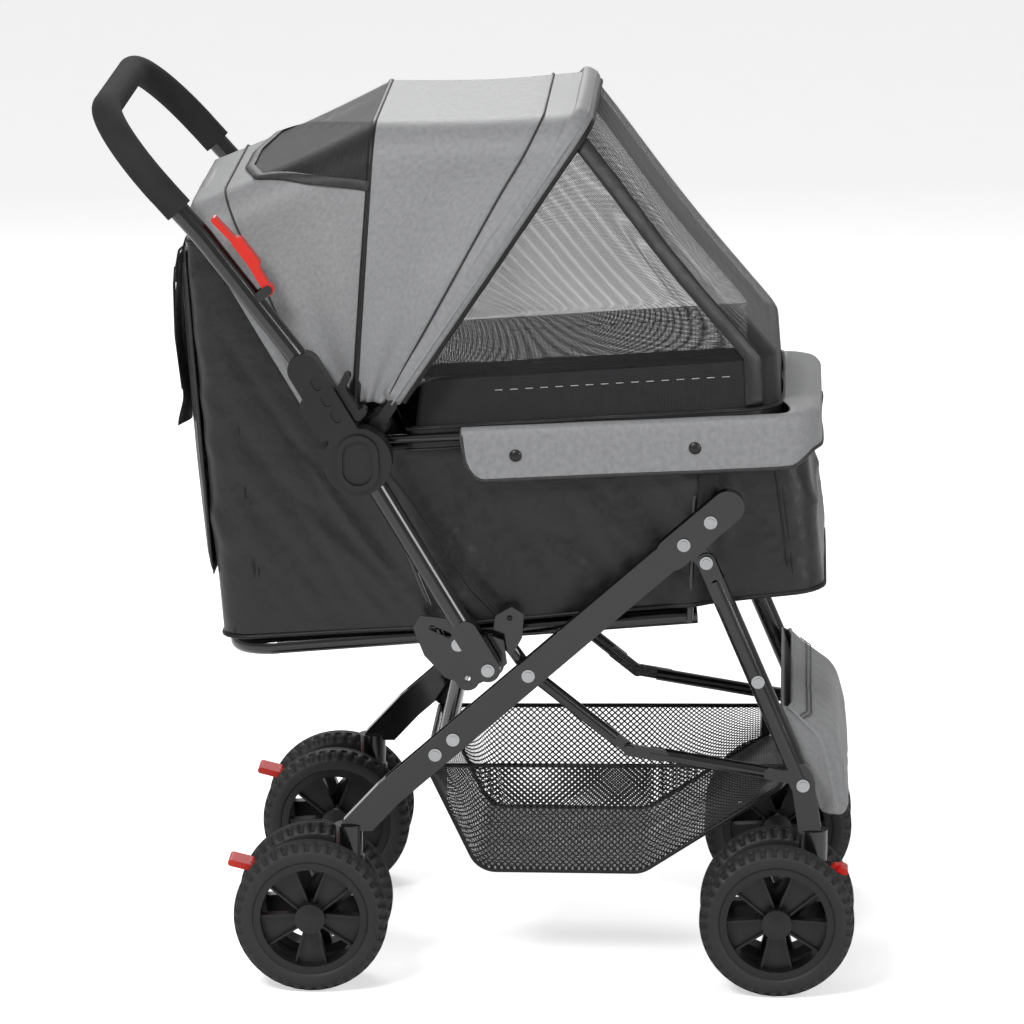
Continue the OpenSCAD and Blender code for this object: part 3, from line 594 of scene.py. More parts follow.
vent_binding = canopy_strip("roof_vent_binding", vent_line, 0.011, GREY_BINDING, 0.002, 90)
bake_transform(vent_binding)
front_seam = canopy_strip("canopy_front_seam", lambda t: (0.885, t), 0.0016, GREY_BINDING, 0.0012, 120)
rear_seam = canopy_strip("canopy_rear_seam", lambda t: (0.085, t), 0.0016, GREY_BINDING, 0.0012, 120)
for seam in (front_seam, rear_seam):
    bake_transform(seam)
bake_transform(canopy)
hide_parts("canopy_cover")

arch_piece("middle_bow_binding", MID_BOW, 0.0034, BINDING, "canopy_mid", 0.0052, 0.04)
arch_piece("front_bow_piping", FRONT_BOW, 0.0034, BINDING, "canopy_front", -0.001, 0.09, 0.0082)
arch_piece("front_bow_inner_piping", FRONT_BOW, 0.0022, BINDING, "canopy_front", -0.009, 0.09, 0.0095)


def bow_sleeve(name, bow, body, low, forward, width):
    """The doubled cloth tunnel that a bow lies in."""
    line = route(bow_path(bow, 0.0008, low))
    hinge, top = bow[0], bow[1]
    rise = (top - hinge).normalized()
    fore = Vector((rise.z, 0, -rise.x))

    def place(u, v):
        here = line(v)
        out = here - (hinge + rise * (top - hinge).length * 0.6)
        out = (out - fore * out.dot(fore)).normalized()
        turn = 2 * math.pi * u
        flat = fore * (math.cos(turn) * width / 2 + forward) + out * (math.sin(turn) * (BOW_R + 0.0017))
        crease = 0.0006 * noise.noise(here * 40)
        return here + flat + out * crease

    return give(spread(name, place, 20, 110, (width * 2.2, 0.9), [GREY_HEM], 0.0007, closed=True, smooth=0),
                body, "grey_cloth")


bow_sleeve("front_bow_sleeve", FRONT_BOW, "canopy_front", 0.085, -0.004, 0.021)
bow_sleeve("rear_bow_sleeve", REAR_BOW, "chassis", 0.10, 0.004, 0.021)

# ---- net window ----
RIM_LINE = [(-96, 591), (315, 619)]


def rim_z(x):
    return between(RIM_LINE, x)


def rim_path(back, front, half, lift, bend):
    corners = [at(back, rim_z(back) + lift, -half), at(front, rim_z(front) + lift, -half),
               at(front, rim_z(front) + lift, half), at(back, rim_z(back) + lift, half)]
    return rounded(corners, bend / 1000)


window_low = arch(rim_path(-96, 291, 166, 0, 42))
window_band = arch(rim_path(-88, 286, 166, 62, 40))
window_high = arch(bow_path(FRONT_BOW, -0.003, 0.09, 0.0075))
BAND = 0.2


def window_place(u, v):
    """The net from the cabin's zip up to the front bow; its lowest band is doubled."""
    low, band, high = window_low(v), window_band(v), window_high(v)
    p = low.lerp(band, u / BAND) if u < BAND else band.lerp(high, (u - BAND) / (1 - BAND))
    loose = math.sin(math.pi * u) * math.sin(math.pi * min(1, max(0, (u - BAND) / (1 - BAND))))
    drape = noise.noise(Vector((p.x * 7 + p.z * 4, p.y * 7, p.z * 3))) * 0.003
    inward = Vector((0, -1 if p.y > 0 else 1, 0)) if min(v,
                                                         1 - v) < CORNER - 0.02 else Vector((-0.8, 0, -0.6))
    return p + inward * (loose * (0.003 + drape))


def window_finish(u, v):
    if u < BAND:
        return 1
    return 2 if CORNER < v < 1 - CORNER else 0


window = spread("front_window_net", window_place, 36, 120, (0.36, 1.3), [NET_FINE, NET_DOUBLE, NET_CLOSE],
                0.0006,
                which=window_finish)
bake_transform(window)
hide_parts("mesh_window")

edge_bindings = []
for side_share in (CORNER, 1 - CORNER):
    def edge_place(u, v, share=side_share):
        lane = share + (u - 0.5) * 0.020
        p = window_place(0.03 + 0.97 * v, lane)
        out = Vector((0.55, -0.75 if share < 0.5 else 0.75, 0.35)).normalized()
        return p + out * 0.0016
    strip = spread("window_edge", edge_place, 6, 46, (0.018, 0.4), [BLACK], 0.0008, smooth=0)
    edge_bindings.append(strip)
window_edges = joined("window_edge_binding", edge_bindings)
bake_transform(window_edges)

stitch_marks = []
for side in (-1, 1):
    for i in range(16):
        a = window_place(BAND * 0.72, 0.07 + 0.014 * i if side < 0 else 0.93 - 0.014 * i)
        b = window_place(BAND * 0.72, 0.077 + 0.014 * i if side < 0 else 0.923 - 0.014 * i)
        out = Vector((0, side * 0.0009, 0))
        stitch_marks.append(piped("stitch", [a + out, b + out], 0.0005, THREAD))
give(joined("window_stitching", stitch_marks), "chassis", "grey_cloth")

# ---- zip band round the cabin's rim ----
zip_route = route(rim_path(-104, 292, 167, -3, 43))


def zip_place(u, v):
    p = zip_route(v)
    ripple = 0.0012 * math.sin(v * 60) + 0.0012 * noise.noise(p * 25)
    out = Vector((0, -1 if p.y < 0 else 1, 0)) if abs(p.y) > 0.16 else AHEAD
    return p + UP * ((u - 0.5) * 0.026) + out * (0.0012 + ripple)


give(spread("rim_zip_band", zip_place, 6, 150, (0.026, 1.1), [BLACK], 0.0012, smooth=0), "chassis",
     "black_cloth")
zip_line = [zip_place(0.42, i / 160) for i in range(161)]
zip_out = [p + Vector((0, math.copysign(0.0014, p.y) if abs(p.y) > 0.1 else 0,
                       0)) + AHEAD * (0.0014 if abs(p.y) < 0.16 else 0)
           for p in zip_line]
give(piped("rim_zip_teeth", zip_out, 0.0016, TEETH), "chassis", "black_plastic")
give(piped("rim_zip_upper_cord", [p + UP * 0.013 for p in zip_out], 0.0016, BINDING), "chassis",
     "black_cloth")
give(piped("rim_zip_lower_cord", [p - UP * 0.010 for p in zip_out], 0.0016, BINDING), "chassis",
     "black_cloth")

# ---- cabin ----
CABIN_HALF = 0.1635
FLOOR_LINE = [(-302, 368), (-101, 382.5), (101, 402.5), (338, 428)]
CABIN_TOP = [(-337, 794), (-318, 796), (-140, 576), (-36, 586), (315, 601)]


def plan_loop(rear, front, half, bend):
    """A closed rounded loop seen from above, starting at the middle of the rear."""
    corners = [Vector((rear, 0, 0)), Vector((rear, -half, 0)), Vector((front, -half, 0)),
               Vector((front, half, 0)),
               Vector((rear, half, 0)), Vector((rear, 0, 0))]
    return route(rounded(corners, bend))


low_loop = plan_loop(-302, 338, CABIN_HALF * 1000, 34)
high_loop = plan_loop(-337, 315, CABIN_HALF * 1000, 30)


def fold_depth(p):
    """Slanting pull folds, deepest near the bottom edge and behind the hub."""
    slant = Vector((p.x * 20 + p.z * 15, p.z * 2.6 - p.x * 1.6, p.y * 6))
    ridge = 1 - abs(noise.noise(slant)) * 2.2
    ridge = max(ridge, 0) ** 3
    low = 1 - ease((p.z - 0.40) / 0.22)
    long_fold = max(1 - abs(noise.noise(Vector((p.x * 9, p.z * 1.3, p.y * 3 + 4)))) * 2.4, 0) ** 3
    return 0.0075 * ridge * (0.3 + 0.7 * low) + 0.0045 * long_fold


STRUTS = [(Vector((-66, 368)), Vector((-143, 572))), (Vector((196, 400)), Vector((204, 606)))]


def over_struts(x, z):
    """How far the side cloth is pushed out where it is stretched over the frame's uprights."""
    most = 0.0
    for low, high in STRUTS:
        span = high - low
        t = min(max((Vector((x, z)) - low).dot(span) / span.length_squared, 0), 1)
        gap = (Vector((x, z)) - low - span * t).length
        most = max(most, math.exp(-(gap / 15) ** 2) * 0.6 + math.exp(-(gap / 55) ** 2) * 0.4)
    return 0.0128 * most


def side_out(p):
    """The outward lie of the cabin's side at a place on it."""
    x, z = p.x * 1000 - MIDDLE_X, p.z * 1000
    low, high = between(FLOOR_LINE, x), between(CABIN_TOP, x)
    share = min(max((z - low) / (high - low), 0), 1)
    tight = math.sin(math.pi * share) ** 0.6
    return tight * (fold_depth(p) - 0.0026) + over_struts(x, z)


def cabin_place(u, v):
    a, b = low_loop(v), high_loop(v)
    low = at(a.x, between(FLOOR_LINE, a.x), a.y)
    high = at(b.x, between(CABIN_TOP, b.x), b.y)
    p = low.lerp(high, u)
    if abs(a.y) > CABIN_HALF * 1000 - 1:
        return p + ACROSS * math.copysign(side_out(p), a.y)
    out = Vector((math.copysign(1, a.x), 0.25 * a.y / 165, 0)).normalized()
    tight = math.sin(math.pi * min(max(u, 0), 1)) ** 0.6
    return p + out * (tight * (0.0007 + fold_depth(p)))


cabin = spread("cabin_shell", cabin_place, 46, 200, (0.25, 1.93), [BLACK], 0.0011, closed=True)
give(cabin, "chassis", "black_cloth", "cabin_body")


def under_place(u, v):
    x = -301 + 638 * u
    near = min(x + 302, 338 - x)
    corner = 34 - math.sqrt(max(34 ** 2 - max(34 - near, 0) ** 2, 0))
    y = (2 * v - 1) * (163.3 - corner)
    sag = 1.2 * math.sin(math.pi * u) * math.sin(math.pi * v)
    return at(x, between(FLOOR_LINE, x) - 0.2 - sag, y)


give(spread("cabin_underside", under_place, 60, 30, (0.64, 0.327), [BLACK], 0.0011, smooth=0), "chassis",
     "black_cloth")

hem = []
for i in range(200):
    p = cabin_place(0.0, i / 200)
    hem.append(p + (Vector((p.x - 0.04, p.y * 2, 0)).normalized() * 0.001))
give(piped("cabin_bottom_piping", hem, 0.0023, BINDING, closed=True), "chassis", "black_cloth")
top_edge = [cabin_place(1.0, i / 240) for i in range(240)]
give(piped("cabin_top_binding", top_edge, 0.0024, BINDING, closed=True), "chassis", "black_cloth")


def on_side(points, out=0.0012, side=-1):
    """Points of the side view laid on the cabin's side."""
    path = []
    for x, z in points:
        p = at(x, z, side * CABIN_HALF * 1000)
        path.append(p + ACROSS * (side * (side_out(p) + out)))
    return path


def smooth_points(points, count=40):
    """A soft curve through a few points of the side view."""
    line = [Vector((x, z, 0)) for x, z in points]
    place = route(rounded(line, 60))
    return [(place(i / count).x, place(i / count).y) for i in range(count + 1)]


HUB_SEAM = [(-128, 560), (-98, 520), (-62, 466), (-36, 424), (-8, 396)]
REAR_SEAM = [(-296, 756), (-286, 640), (-275, 520), (-265, 424)]
FRONT_SEAM = [(279, 588), (288, 540), (296, 480), (301, 436)]
seams = []
for side in (-1, 1):
    for line in (HUB_SEAM, REAR_SEAM, FRONT_SEAM):
        seams.append(piped("seam", on_side(smooth_points(line), 0.0008, side), 0.0012, BINDING))
        inner = [(x + 5, z + 1) for x, z in smooth_points(line)]
        seams.append(piped("seam", on_side(inner, 0.0003, side), 0.0007, BINDING))
give(joined("cabin_seams", seams), "chassis", "black_cloth")

# short webbing that holds the skirt to the seat frame
straps = []
for side in (-1, 1):
    rows = [at(211, 500, side * 178), at(213, 540, side * 178.6), at(214, 578, side * 178)]
    straps.append(tape("strap", rows, lambda t: AHEAD, 0.017, 0.0012, BINDING, 16))
give(joined("cabin_side_straps", straps), "chassis", "black_cloth")

# ---- skirt flap over the rim tube ----
TUBE_LINE = [(-134, 588), (325, 612)]
SKIRT_SIDE = [(0, (-4.5, 8.8)), (0.1, (1.5, 9.0)), (0.2, (6.5, 6.0)), (0.3, (8.0, 0.5)), (1, (9.0, -47))]
SKIRT_FRONT = [(0, (-33, 15)), (0.1, (-14, 12)), (0.2, (2, 9)), (0.3, (7.5, 3)), (1, (8, -31))]
TUBE_CORNERS = ((-46, -171.5), (325, -171.5), (325, 171.5), (-46, 171.5))
tube_line = route(rounded([at(x, between(TUBE_LINE, x), y) for x, y in TUBE_CORNERS], 0.04))


def flap_place(u, v):
    """The skirt: from the window's foot over the rim tube and down, with rounded back ends."""
    here = tube_line(v)
    along = (tube_line(min(v + 0.004, 1)) - tube_line(max(v - 0.004, 0))).normalized()
    out = along.cross(UP).normalized()
    ahead = ease((out.x - 0.35) / 0.6)
    side = [between([(a, b[i]) for a, b in SKIRT_SIDE], u) for i in (0, 1)]
    front = [between([(a, b[i]) for a, b in SKIRT_FRONT], u) for i in (0, 1)]
    away, rise = (a + (b - a) * ahead for a, b in zip(side, front))
    end = min(v, 1 - v) * 1.07
    short = math.sqrt(max(1 - max(1 - end / 0.026, 0) ** 2, 0.0))
    if rise < 0:
        rise *= short
    wave = (1.1 * math.sin(v * 34) + 1.6 * noise.noise(Vector((v * 22, u * 2, 3)))) * max(u - 0.2, 0)
    return here + out * ((away + wave + 0.8) / 1000) + UP * (rise / 1000)


flap = spread("skirt_flap", flap_place, 20, 150, (0.064, 1.06), [GREY], 0.001)
give(flap, "chassis", "grey_cloth")
flap_edge = [flap_place(0, 0.0001)]
flap_edge += [flap_place(1.0, i / 260) for i in range(261)]
flap_edge += [flap_place(0, 0.9999)]
give(piped("skirt_binding", flap_edge, 0.0021, GREY_BINDING), "chassis", "black_cloth")

snaps = []
for side in (-1, 1):
    for share in (0.055, 0.235):
        v = share if side < 0 else 1 - share
        centre = flap_place(0.62, v)
        bm = bmesh.new()
        bmesh.ops.create_uvsphere(bm, u_segments=20, v_segments=10, radius=0.0066)
        bmesh.ops.scale(bm, vec=(1, 0.42, 1), verts=bm.verts)
        bmesh.ops.translate(bm, vec=centre + Vector((0, side * 0.001, 0)), verts=bm.verts)
        snaps.append(keep("snap", bm, [PLASTIC]))
give(joined("skirt_snaps", snaps), "chassis", "black_plastic")

# ---- rear door and its hanging flap ----
def rear_x(z):
    return between([(368, -302), (794, -337)],
                   z) - 6.5 * math.sin(math.pi * min(max((z - 368) / 426, 0), 1)) ** 0.6


def rear_place(y, z, out):
    return at(rear_x(z) - out, z, y)


def door_place(u, v):
    z = 432 + 350 * v
    y = (2 * u - 1) * 136
    edge = min(min(u, 1 - u) * 272, min(v, 1 - v) * 350)
    puff = 6.0 * ease(edge / 22)
    crease = 3 * noise.noise(Vector((y / 60, z / 140, 7)))
    return rear_place(y, z, 1.5 + puff + crease * ease(edge / 40))


give(spread("rear_door", door_place, 46, 60, (0.272, 0.352), [BLACK], 0.0011), "chassis", "black_cloth")
door_ring = rounded([rear_place(0, 432, 3), rear_place(-136, 432, 3), rear_place(-136, 782, 3),
                     rear_place(136, 782, 3),
                     rear_place(136, 432, 3), rear_place(0, 432, 3)], 0.03)
give(piped("rear_door_zip", door_ring[:-1], 0.0020, TEETH, closed=True), "chassis", "black_plastic")


def hanging_place(u, v):
    """A weather flap sewn at its top, belly out, its corners turned back."""
    y = (2 * u - 1) * 118
    fall = 1 - v
    z = 776 - 186 * fall
    kick = 12 * ease((fall - 0.8) / 0.2) * (0.35 + 0.65 * abs(2 * u - 1) ** 3)
    belly = 8.5 * math.sin(math.pi * min(fall * 1.05, 1)) + kick
    ripple = 2.4 * math.sin(u * 19 + 1.5 * fall) * fall
    return rear_place(y, z, 9.5 + belly + ripple)


hanging = spread("rear_weather_flap", hanging_place, 40, 36, (0.236, 0.195), [BLACK], 0.001)
give(hanging, "chassis", "black_cloth")
ties = []
for y in (-70, 70):
    rows = [rear_place(y, 786, 7), rear_place(y, 740, 22), rear_place(y, 680, 24), rear_place(y, 622, 21)]
    ties.append(tape("tie", rounded(rows, 0.03), lambda t: ACROSS, 0.018, 0.0012, BINDING, 24))
give(joined("rear_flap_ties", ties), "chassis", "black_cloth")
PULL_Y = -140
cord = [rear_place(PULL_Y, 788, 3), rear_place(PULL_Y, 784, 8), rear_place(PULL_Y, 764, 12)]
pull = [piped("pull", rounded(cord, 0.004), 0.0013, BINDING)]
bm = bmesh.new()
bmesh.ops.create_cone(bm, cap_ends=True, segments=12, radius1=0.003, radius2=0.0018, depth=0.016)
bmesh.ops.translate(bm, vec=rear_place(PULL_Y, 758, 12.5), verts=bm.verts)
pull.append(keep("pull", bm, [BINDING]))
give(joined("rear_zip_pull", pull), "chassis", "black_plastic")


# ---- floor cushion ----
def floor_cushion():
    """A stuffed pad on the floor board: blown up by cloth pressure, then stitched across."""
    half_long, half_wide, thick = 0.296, 0.142, 0.013
    bm = bmesh.new()
    bmesh.ops.create_cube(bm, size=1)
    bmesh.ops.scale(bm, vec=(2 * half_long, 2 * half_wide, thick), verts=bm.verts)
    edges = [e for e in bm.edges if abs(e.verts[0].co.z - e.verts[1].co.z) > thick / 2]
    bmesh.ops.bevel(bm, geom=edges, offset=0.035, offset_type="OFFSET", affect="EDGES", segments=6,
                    profile=0.5, material=-1)
    for vert in bm.verts:
        place = at(vert.co.x * 1000 + 12, 0, vert.co.y * 1000)
        place.z = between(FLOOR_LINE, vert.co.x * 1000 + 12) / 1000 + 0.0145 + 0.5 * thick + vert.co.z
        vert.co = place
    bmesh.ops.bisect_plane(bm, geom=bm.verts[:] + bm.edges[:] + bm.faces[:], plane_co=at(-101, 0),
                           plane_no=AHEAD)
    bmesh.ops.bisect_plane(bm, geom=bm.verts[:] + bm.edges[:] + bm.faces[:], plane_co=at(101, 0),
                           plane_no=AHEAD)
    for vert in bm.verts:
        x = vert.co.x * 1000 - MIDDLE_X
        if min(abs(x + 101), abs(x - 101)) < 0.5:
            top = vert.co.z > between([(-296, 389), (320, 446)], x) / 1000
            vert.co.z = between(FLOOR_LINE, x) / 1000 + 0.0145 + (thick if top else 0)
    pad = keep("floor_cushion", bm, [LINING])
    remesh = pad.modifiers.new("remesh", "REMESH")
    remesh.mode = "VOXEL"
    remesh.voxel_size = 0.006
    settle(pad)
    before = [v.co.copy() for v in pad.data.vertices]
    cloth = pad.modifiers.new("stuffing", "CLOTH")
    cloth.settings.use_pressure = True
    cloth.settings.uniform_pressure_force = 4
    cloth.settings.effector_weights.gravity = 0
    cloth.point_cache.frame_start, cloth.point_cache.frame_end = 1, 20
    for number in range(1, 21):
        bpy.context.scene.frame_set(number)
    settle(pad)
    bpy.context.scene.frame_set(1)
    for vert, old in zip(pad.data.vertices, before):
        move = vert.co - old
        if move.length > 0.006:
            move *= 0.006 / move.length
        vert.co = old + move
    for vert in pad.data.vertices:
        x = vert.co.x * 1000 - MIDDLE_X
        floor = between(FLOOR_LINE, x) / 1000 + 0.0092
        groove = min(abs(x - place) for place in (-190, -70, 50, 170))
        high = vert.co.z - floor
        if high > 0.008:
            vert.co.z -= 0.35 * high * math.exp(-(groove / 5.0) ** 2)
        vert.co.z = max(vert.co.z, floor)
    soften = pad.modifiers.new("soften", "SUBSURF")
    soften.levels = soften.render_levels = 1
    settle(pad)
    for face in pad.data.polygons:
        face.use_smooth = True
    return pad


cushion = give(floor_cushion(), "chassis", "black_cloth")

# ---- basket ----
BASKET_HALF = -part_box("basket")[0][1]
BASKET_SIDE = [(-86, 222), (-30, 106), (146, 106), (296, 204), (301, 226)]
basket_floor = route(rounded([at(x, z) for x, z in BASKET_SIDE], 0.03))


BASKET_FLOOR_SHARE = 0.56


def basket_place(u, v):
    """The net from the near rim, under the floor, to the far rim: v runs rear to front."""
    low = basket_floor(v)
    rim = between([(0, 0.222), (1, 0.226)], v)
    w = 2 * u - 1
    rise = max((abs(w) - BASKET_FLOOR_SHARE) / (1 - BASKET_FLOOR_SHARE), 0)
    half = BASKET_HALF - 0.002 - 0.004 * math.sin(math.pi * rise)
    y = math.copysign(min(abs(w) / BASKET_FLOOR_SHARE, 1.0), w) * half
    lift = 0 if rise else 0.0015 * abs(noise.noise(Vector((low.x * 18, y * 18, 2))))
    return Vector((low.x, y, low.z + (rim - low.z) * rise + lift))


def basket_finish(u, v):
    w = abs(2 * u - 1)
    solid_end = (v < 0.10 or v > 0.90) and w > BASKET_FLOOR_SHARE
    return 1 if solid_end else 0


basket = spread("basket_net_bag", basket_place, 60, 90, (0.62, 0.53), [NET_BASKET, BLACK], 0.0009, smooth=0,
                which=basket_finish)
basket_extras = []
for side in (-1, 1):
    y = side * (BASKET_HALF - 0.0018) * 1000
    rim = [at(x, 222 + 4 * (x + 86) / 387, y) for x in range(-86, 302, 9)]
    basket_extras.append(piped("rim", rim, 0.0024, BINDING))
    outline = [p + ACROSS * (side * (BASKET_HALF - 0.0016)) for p in rounded([at(x, z) for x,
                                                                              z in BASKET_SIDE], 0.03)]
    basket_extras.append(piped("rim", outline, 0.0022, BINDING))
for x, z in (BASKET_SIDE[0], BASKET_SIDE[-1]):
    basket_extras.append(piped("rim", [at(x, z, -128), at(x, z, -60), at(x, z, 60), at(x, z, 128)], 0.0024,
                               BINDING))
basket_piping = joined("basket_piping", basket_extras)
basket_hangers = []
for side in (-1, 1):
    y = side * BASKET_HALF * 1000
    basket_hangers.append(tape("hanger",
                               [at(-84, 222, y * 0.985), at(-66, 246, side * 152), at(-60, 262, side * 181)],
                               lambda t: Vector((0.8, 0, -0.6)), 0.02, 0.0012, BINDING, 16))
give(joined("basket_rear_hangers", basket_hangers), "chassis", "black_cloth")
front_hangers = []
for side in (-1, 1):
    y = side * BASKET_HALF * 1000
    front_hangers.append(tape("hanger",
                              [at(300, 226, y * 0.985), at(306, 232, side * 154), at(309, 236, side * 178)],
                              lambda t: Vector((0.3, 0, -0.95)), 0.016, 0.0012, BINDING, 16))
give(joined("basket_front_hangers", front_hangers), "front_legs", "black_cloth")
for obj in (basket, basket_piping):
    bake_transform(obj)
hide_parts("basket")


def gathered_place(u, v):
    """The gathered panel that hangs from the rear cross tube to the basket."""
    y = (2 * u - 1) * 126
    ruffle = 5.5 * math.sin(u * 74 + 2 * math.sin(u * 9)) * (1 - 0.5 * v)
    x = -80 + 12 * (1 - v) + ruffle * 0.8
    z = 218 + 34 * (1 - v)
    return at(x, z, y)


gathered = give(spread("basket_gathered_panel", gathered_place, 160, 10, (0.36, 0.04), [GREY_BINDING],
                       0.0009, smooth=0),
                "chassis", "black_cloth")

# ---- front pocket ----
POCKET_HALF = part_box("front_pocket")[1][1] * 1000
POCKET_FRONT = [(306, 301), (352, 270), (363, 228), (367, 188), (360, 177), (338, 189)]
POCKET_BACK = [(294, 305), (318, 246), (337, 191)]
pocket_front = route(rounded([at(x, z) for x, z in POCKET_FRONT], 0.03))
pocket_back = route([at(x, z) for x, z in POCKET_BACK])


def pocket_place(u, v):
    """The pocket's cloth from its top hem, over the front and under."""
    p = pocket_front(v)
    w = 2 * u - 1
    end = ease((abs(w) - 0.86) / 0.14)
    back = pocket_back(v)
    crease = 0.0022 * noise.noise(Vector((w * 7, v * 3, 5))) * math.sin(math.pi * v)
    x = p.x - 0.006 * end * math.sin(math.pi * v) + crease
    near = Vector((x, w * (POCKET_HALF - 1.2) / 1000, p.z))
    edge = Vector((back.x, w * (POCKET_HALF - 1) / 1000, back.z))
    return near.lerp(edge, 0.25 * end)


pocket = spread("front_pocket_cloth", pocket_place, 80, 40, (0.36, 0.17), [GREY], 0.0016)
pocket_parts = []
for side in (-1, 1):
    def gusset(u, v, side=side):
        a = pocket_place(1.0 if side > 0 else 0.0, v)
        b = pocket_back(v)
        b.y = a.y
        p = a.lerp(b, u)
        return p + ACROSS * (side * -0.002 * math.sin(math.pi * u))
    pocket_parts.append(spread("gusset", gusset, 12, 40, (0.05, 0.17), [GREY_HEM], 0.0014, smooth=0))


def pocket_rear(u, v):
    p = pocket_back(v)
    return Vector((p.x, (2 * u - 1) * (POCKET_HALF - 1.2) / 1000, p.z))


pocket_parts.append(spread("backing", pocket_rear, 30, 20, (0.36, 0.13), [GREY_HEM], 0.0014, smooth=0))
give(joined("front_pocket_sides", pocket_parts), "front_legs", "grey_cloth")
give(pocket, "front_legs", "grey_cloth", "front_pocket")
hem_lines = []
for v in (0.0, 0.10, 0.13):
    out = 0.0014 if v else 0.0
    hem_lines.append(piped("hem", [pocket_place(i / 60, v) + Vector((out, 0, out)) for i in range(61)],
                           0.0022 if v == 0 else 0.0006,
                           GREY_HEM if v == 0 else GREY_BINDING))
for i, line in enumerate(hem_lines):
    line.name = f"pocket_hem_{i + 1}"
    give(line, "front_legs", "grey_cloth")

# ---- tyres ----
TREAD_STEPS = 80


def tread_mesh(radius, width, rim_radius):
    """One solid tyre on its side at the origin: a turned section with notched shoulders."""
    half = width / 2
    section = [
        (rim_radius + 0.0002, -half + 0.002), (rim_radius + 0.003, -half), (radius - 0.0115, -half),
        (radius - 0.0085, -half + 0.0006),
        (radius - 0.0035, -half + 0.0042), (radius - 0.0012, -half + 0.0085),
        (radius - 0.0002, -half + 0.0125), (radius, -0.0018),
        (radius - 0.0014, -0.0012), (radius - 0.0014, 0.0012), (radius, 0.0018),
        (radius - 0.0002, half - 0.0125),
        (radius - 0.0012, half - 0.0085), (radius - 0.0035, half - 0.0042), (radius - 0.0085, half - 0.0006),
        (radius - 0.0115, half),
        (rim_radius + 0.003, half), (rim_radius + 0.0002, half - 0.002),
    ]
    bm = bmesh.new()
    ring = [bm.verts.new((r, y, 0)) for r, y in section]
    edges = [bm.edges.new((a, b)) for a, b in zip(ring, ring[1:] + ring[:1])]
    bmesh.ops.spin(bm, geom=ring + edges, cent=(0, 0, 0), axis=(0, 1, 0), angle=2 * math.pi,
                   steps=TREAD_STEPS, use_merge=True)
    bmesh.ops.remove_doubles(bm, verts=bm.verts, dist=0.00002)
    bmesh.ops.recalc_face_normals(bm, faces=bm.faces)
    shoulder = []
    for face in bm.faces:
        middle = face.calc_center_median()
        turn = math.atan2(middle.z, middle.x) / (2 * math.pi) * TREAD_STEPS
        out = math.hypot(middle.x, middle.z)
        if half - 0.0105 < abs(middle.y) < half - 0.0004 and out > radius - 0.0075:
            if int(math.floor(turn + TREAD_STEPS)) % 2 == 0:
                shoulder.append(face)
    bmesh.ops.inset_region(bm, faces=shoulder, thickness=0.0006, depth=-0.0019)
    return bm


tyre_low, tyre_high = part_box("tyre_fr_out")
TYRE_R = (tyre_high[2] - tyre_low[2]) / 2
TYRE_W = tyre_high[1] - tyre_low[1]
for node in [n for n in frame["nodes"] if n.startswith("tyre_")]:
    low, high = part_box(node)
    bm = tread_mesh(TYRE_R, TYRE_W, TYRE_R * 0.735)
    bmesh.ops.translate(bm, vec=[(a + b) / 2 for a, b in zip(low, high)], verts=bm.verts)
    tread = keep(node.replace("tyre", "tread"), bm, [RUBBER])
    give(tread, "wheel" + node[4:], "tyre_black", node)


# ---- studio ----

FLOOR_GLOW = 0.55   # emission of the floor, for camera rays only
SKY_LIGHT = 0.34    # strength of the world as a lamp
SKY_SEEN = 1.0      # strength of the world as a background


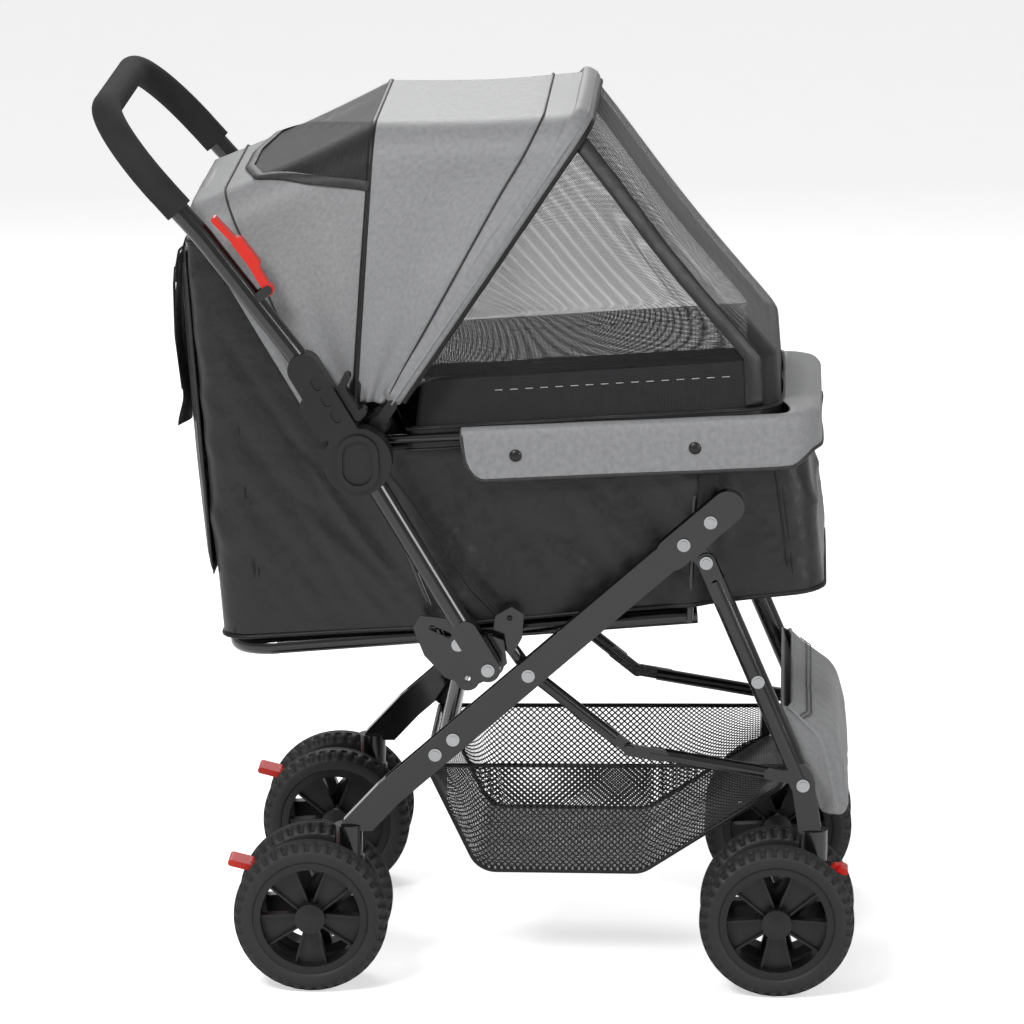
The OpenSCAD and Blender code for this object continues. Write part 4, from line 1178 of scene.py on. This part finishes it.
def studio():
    bm = bmesh.new()
    bmesh.ops.create_grid(bm, x_segments=2, y_segments=2, size=20)
    floor_finish = moulded("studio_floor", (0.86, 0.86, 0.86), (0.89, 0.89, 0.89), 0.7, 0.8, 60.0, 0.02)
    floor = keep("studio_floor", bm, [floor_finish])
    tree = floor_finish.node_tree
    shader = tree.nodes["Principled BSDF"]
    shader.inputs["Emission Color"].default_value = (1, 1, 1, 1)
    look = tree.nodes.new("ShaderNodeLightPath")
    tree.links.new(ranged(tree, look.outputs["Is Camera Ray"], 0, 1, 0, FLOOR_GLOW),
                   shader.inputs["Emission Strength"])
    world = bpy.data.worlds.new("studio") if not bpy.context.scene.world else bpy.context.scene.world
    bpy.context.scene.world = world
    world.use_nodes = True
    sky = world.node_tree.nodes["Background"]
    sky.inputs["Color"].default_value = (1, 1, 1, 1)
    look = world.node_tree.nodes.new("ShaderNodeLightPath")
    world.node_tree.links.new(ranged(world.node_tree, look.outputs["Is Camera Ray"], 0, 1, SKY_LIGHT, SKY_SEEN),
                              sky.inputs["Strength"])
    for name, place, size, power in (
        ("key", (-1.6, -3.0, 3.4), 1.2, 125), ("fill", (3.2, -2.6, 1.7), 1.6, 50),
        ("back", (-0.5, 3.0, 2.6), 1.6, 60),
    ):
        lamp = bpy.data.lights.new(name, "AREA")
        lamp.size = size
        lamp.energy = power
        obj = bpy.data.objects.new(name, lamp)
        bpy.context.scene.collection.objects.link(obj)
        obj.location = place
        obj.rotation_mode = "QUATERNION"
        obj.rotation_quaternion = (Vector(place) - Vector((0, 0, 0.5))).to_track_quat("Z", "Y")


def camera():
    turn, raised, away = math.radians(2.55), math.radians(12.62), 6.8
    aim = Vector((MIDDLE_X / 1000, 0, 0.4727))
    back = Vector((math.sin(turn) * math.cos(raised), -math.cos(turn) * math.cos(raised), math.sin(raised)))
    lens = bpy.data.cameras.new("camera")
    lens.sensor_width = 36
    lens.lens = 220.2
    lens.clip_end = 60
    obj = bpy.data.objects.new("camera", lens)
    bpy.context.scene.collection.objects.link(obj)
    obj.location = aim + back * away
    obj.rotation_mode = "QUATERNION"
    obj.rotation_quaternion = back.to_track_quat("Z", "Y")
    bpy.context.scene.camera = obj


studio()
camera()
bpy.context.scene.view_settings.view_transform = "Standard"
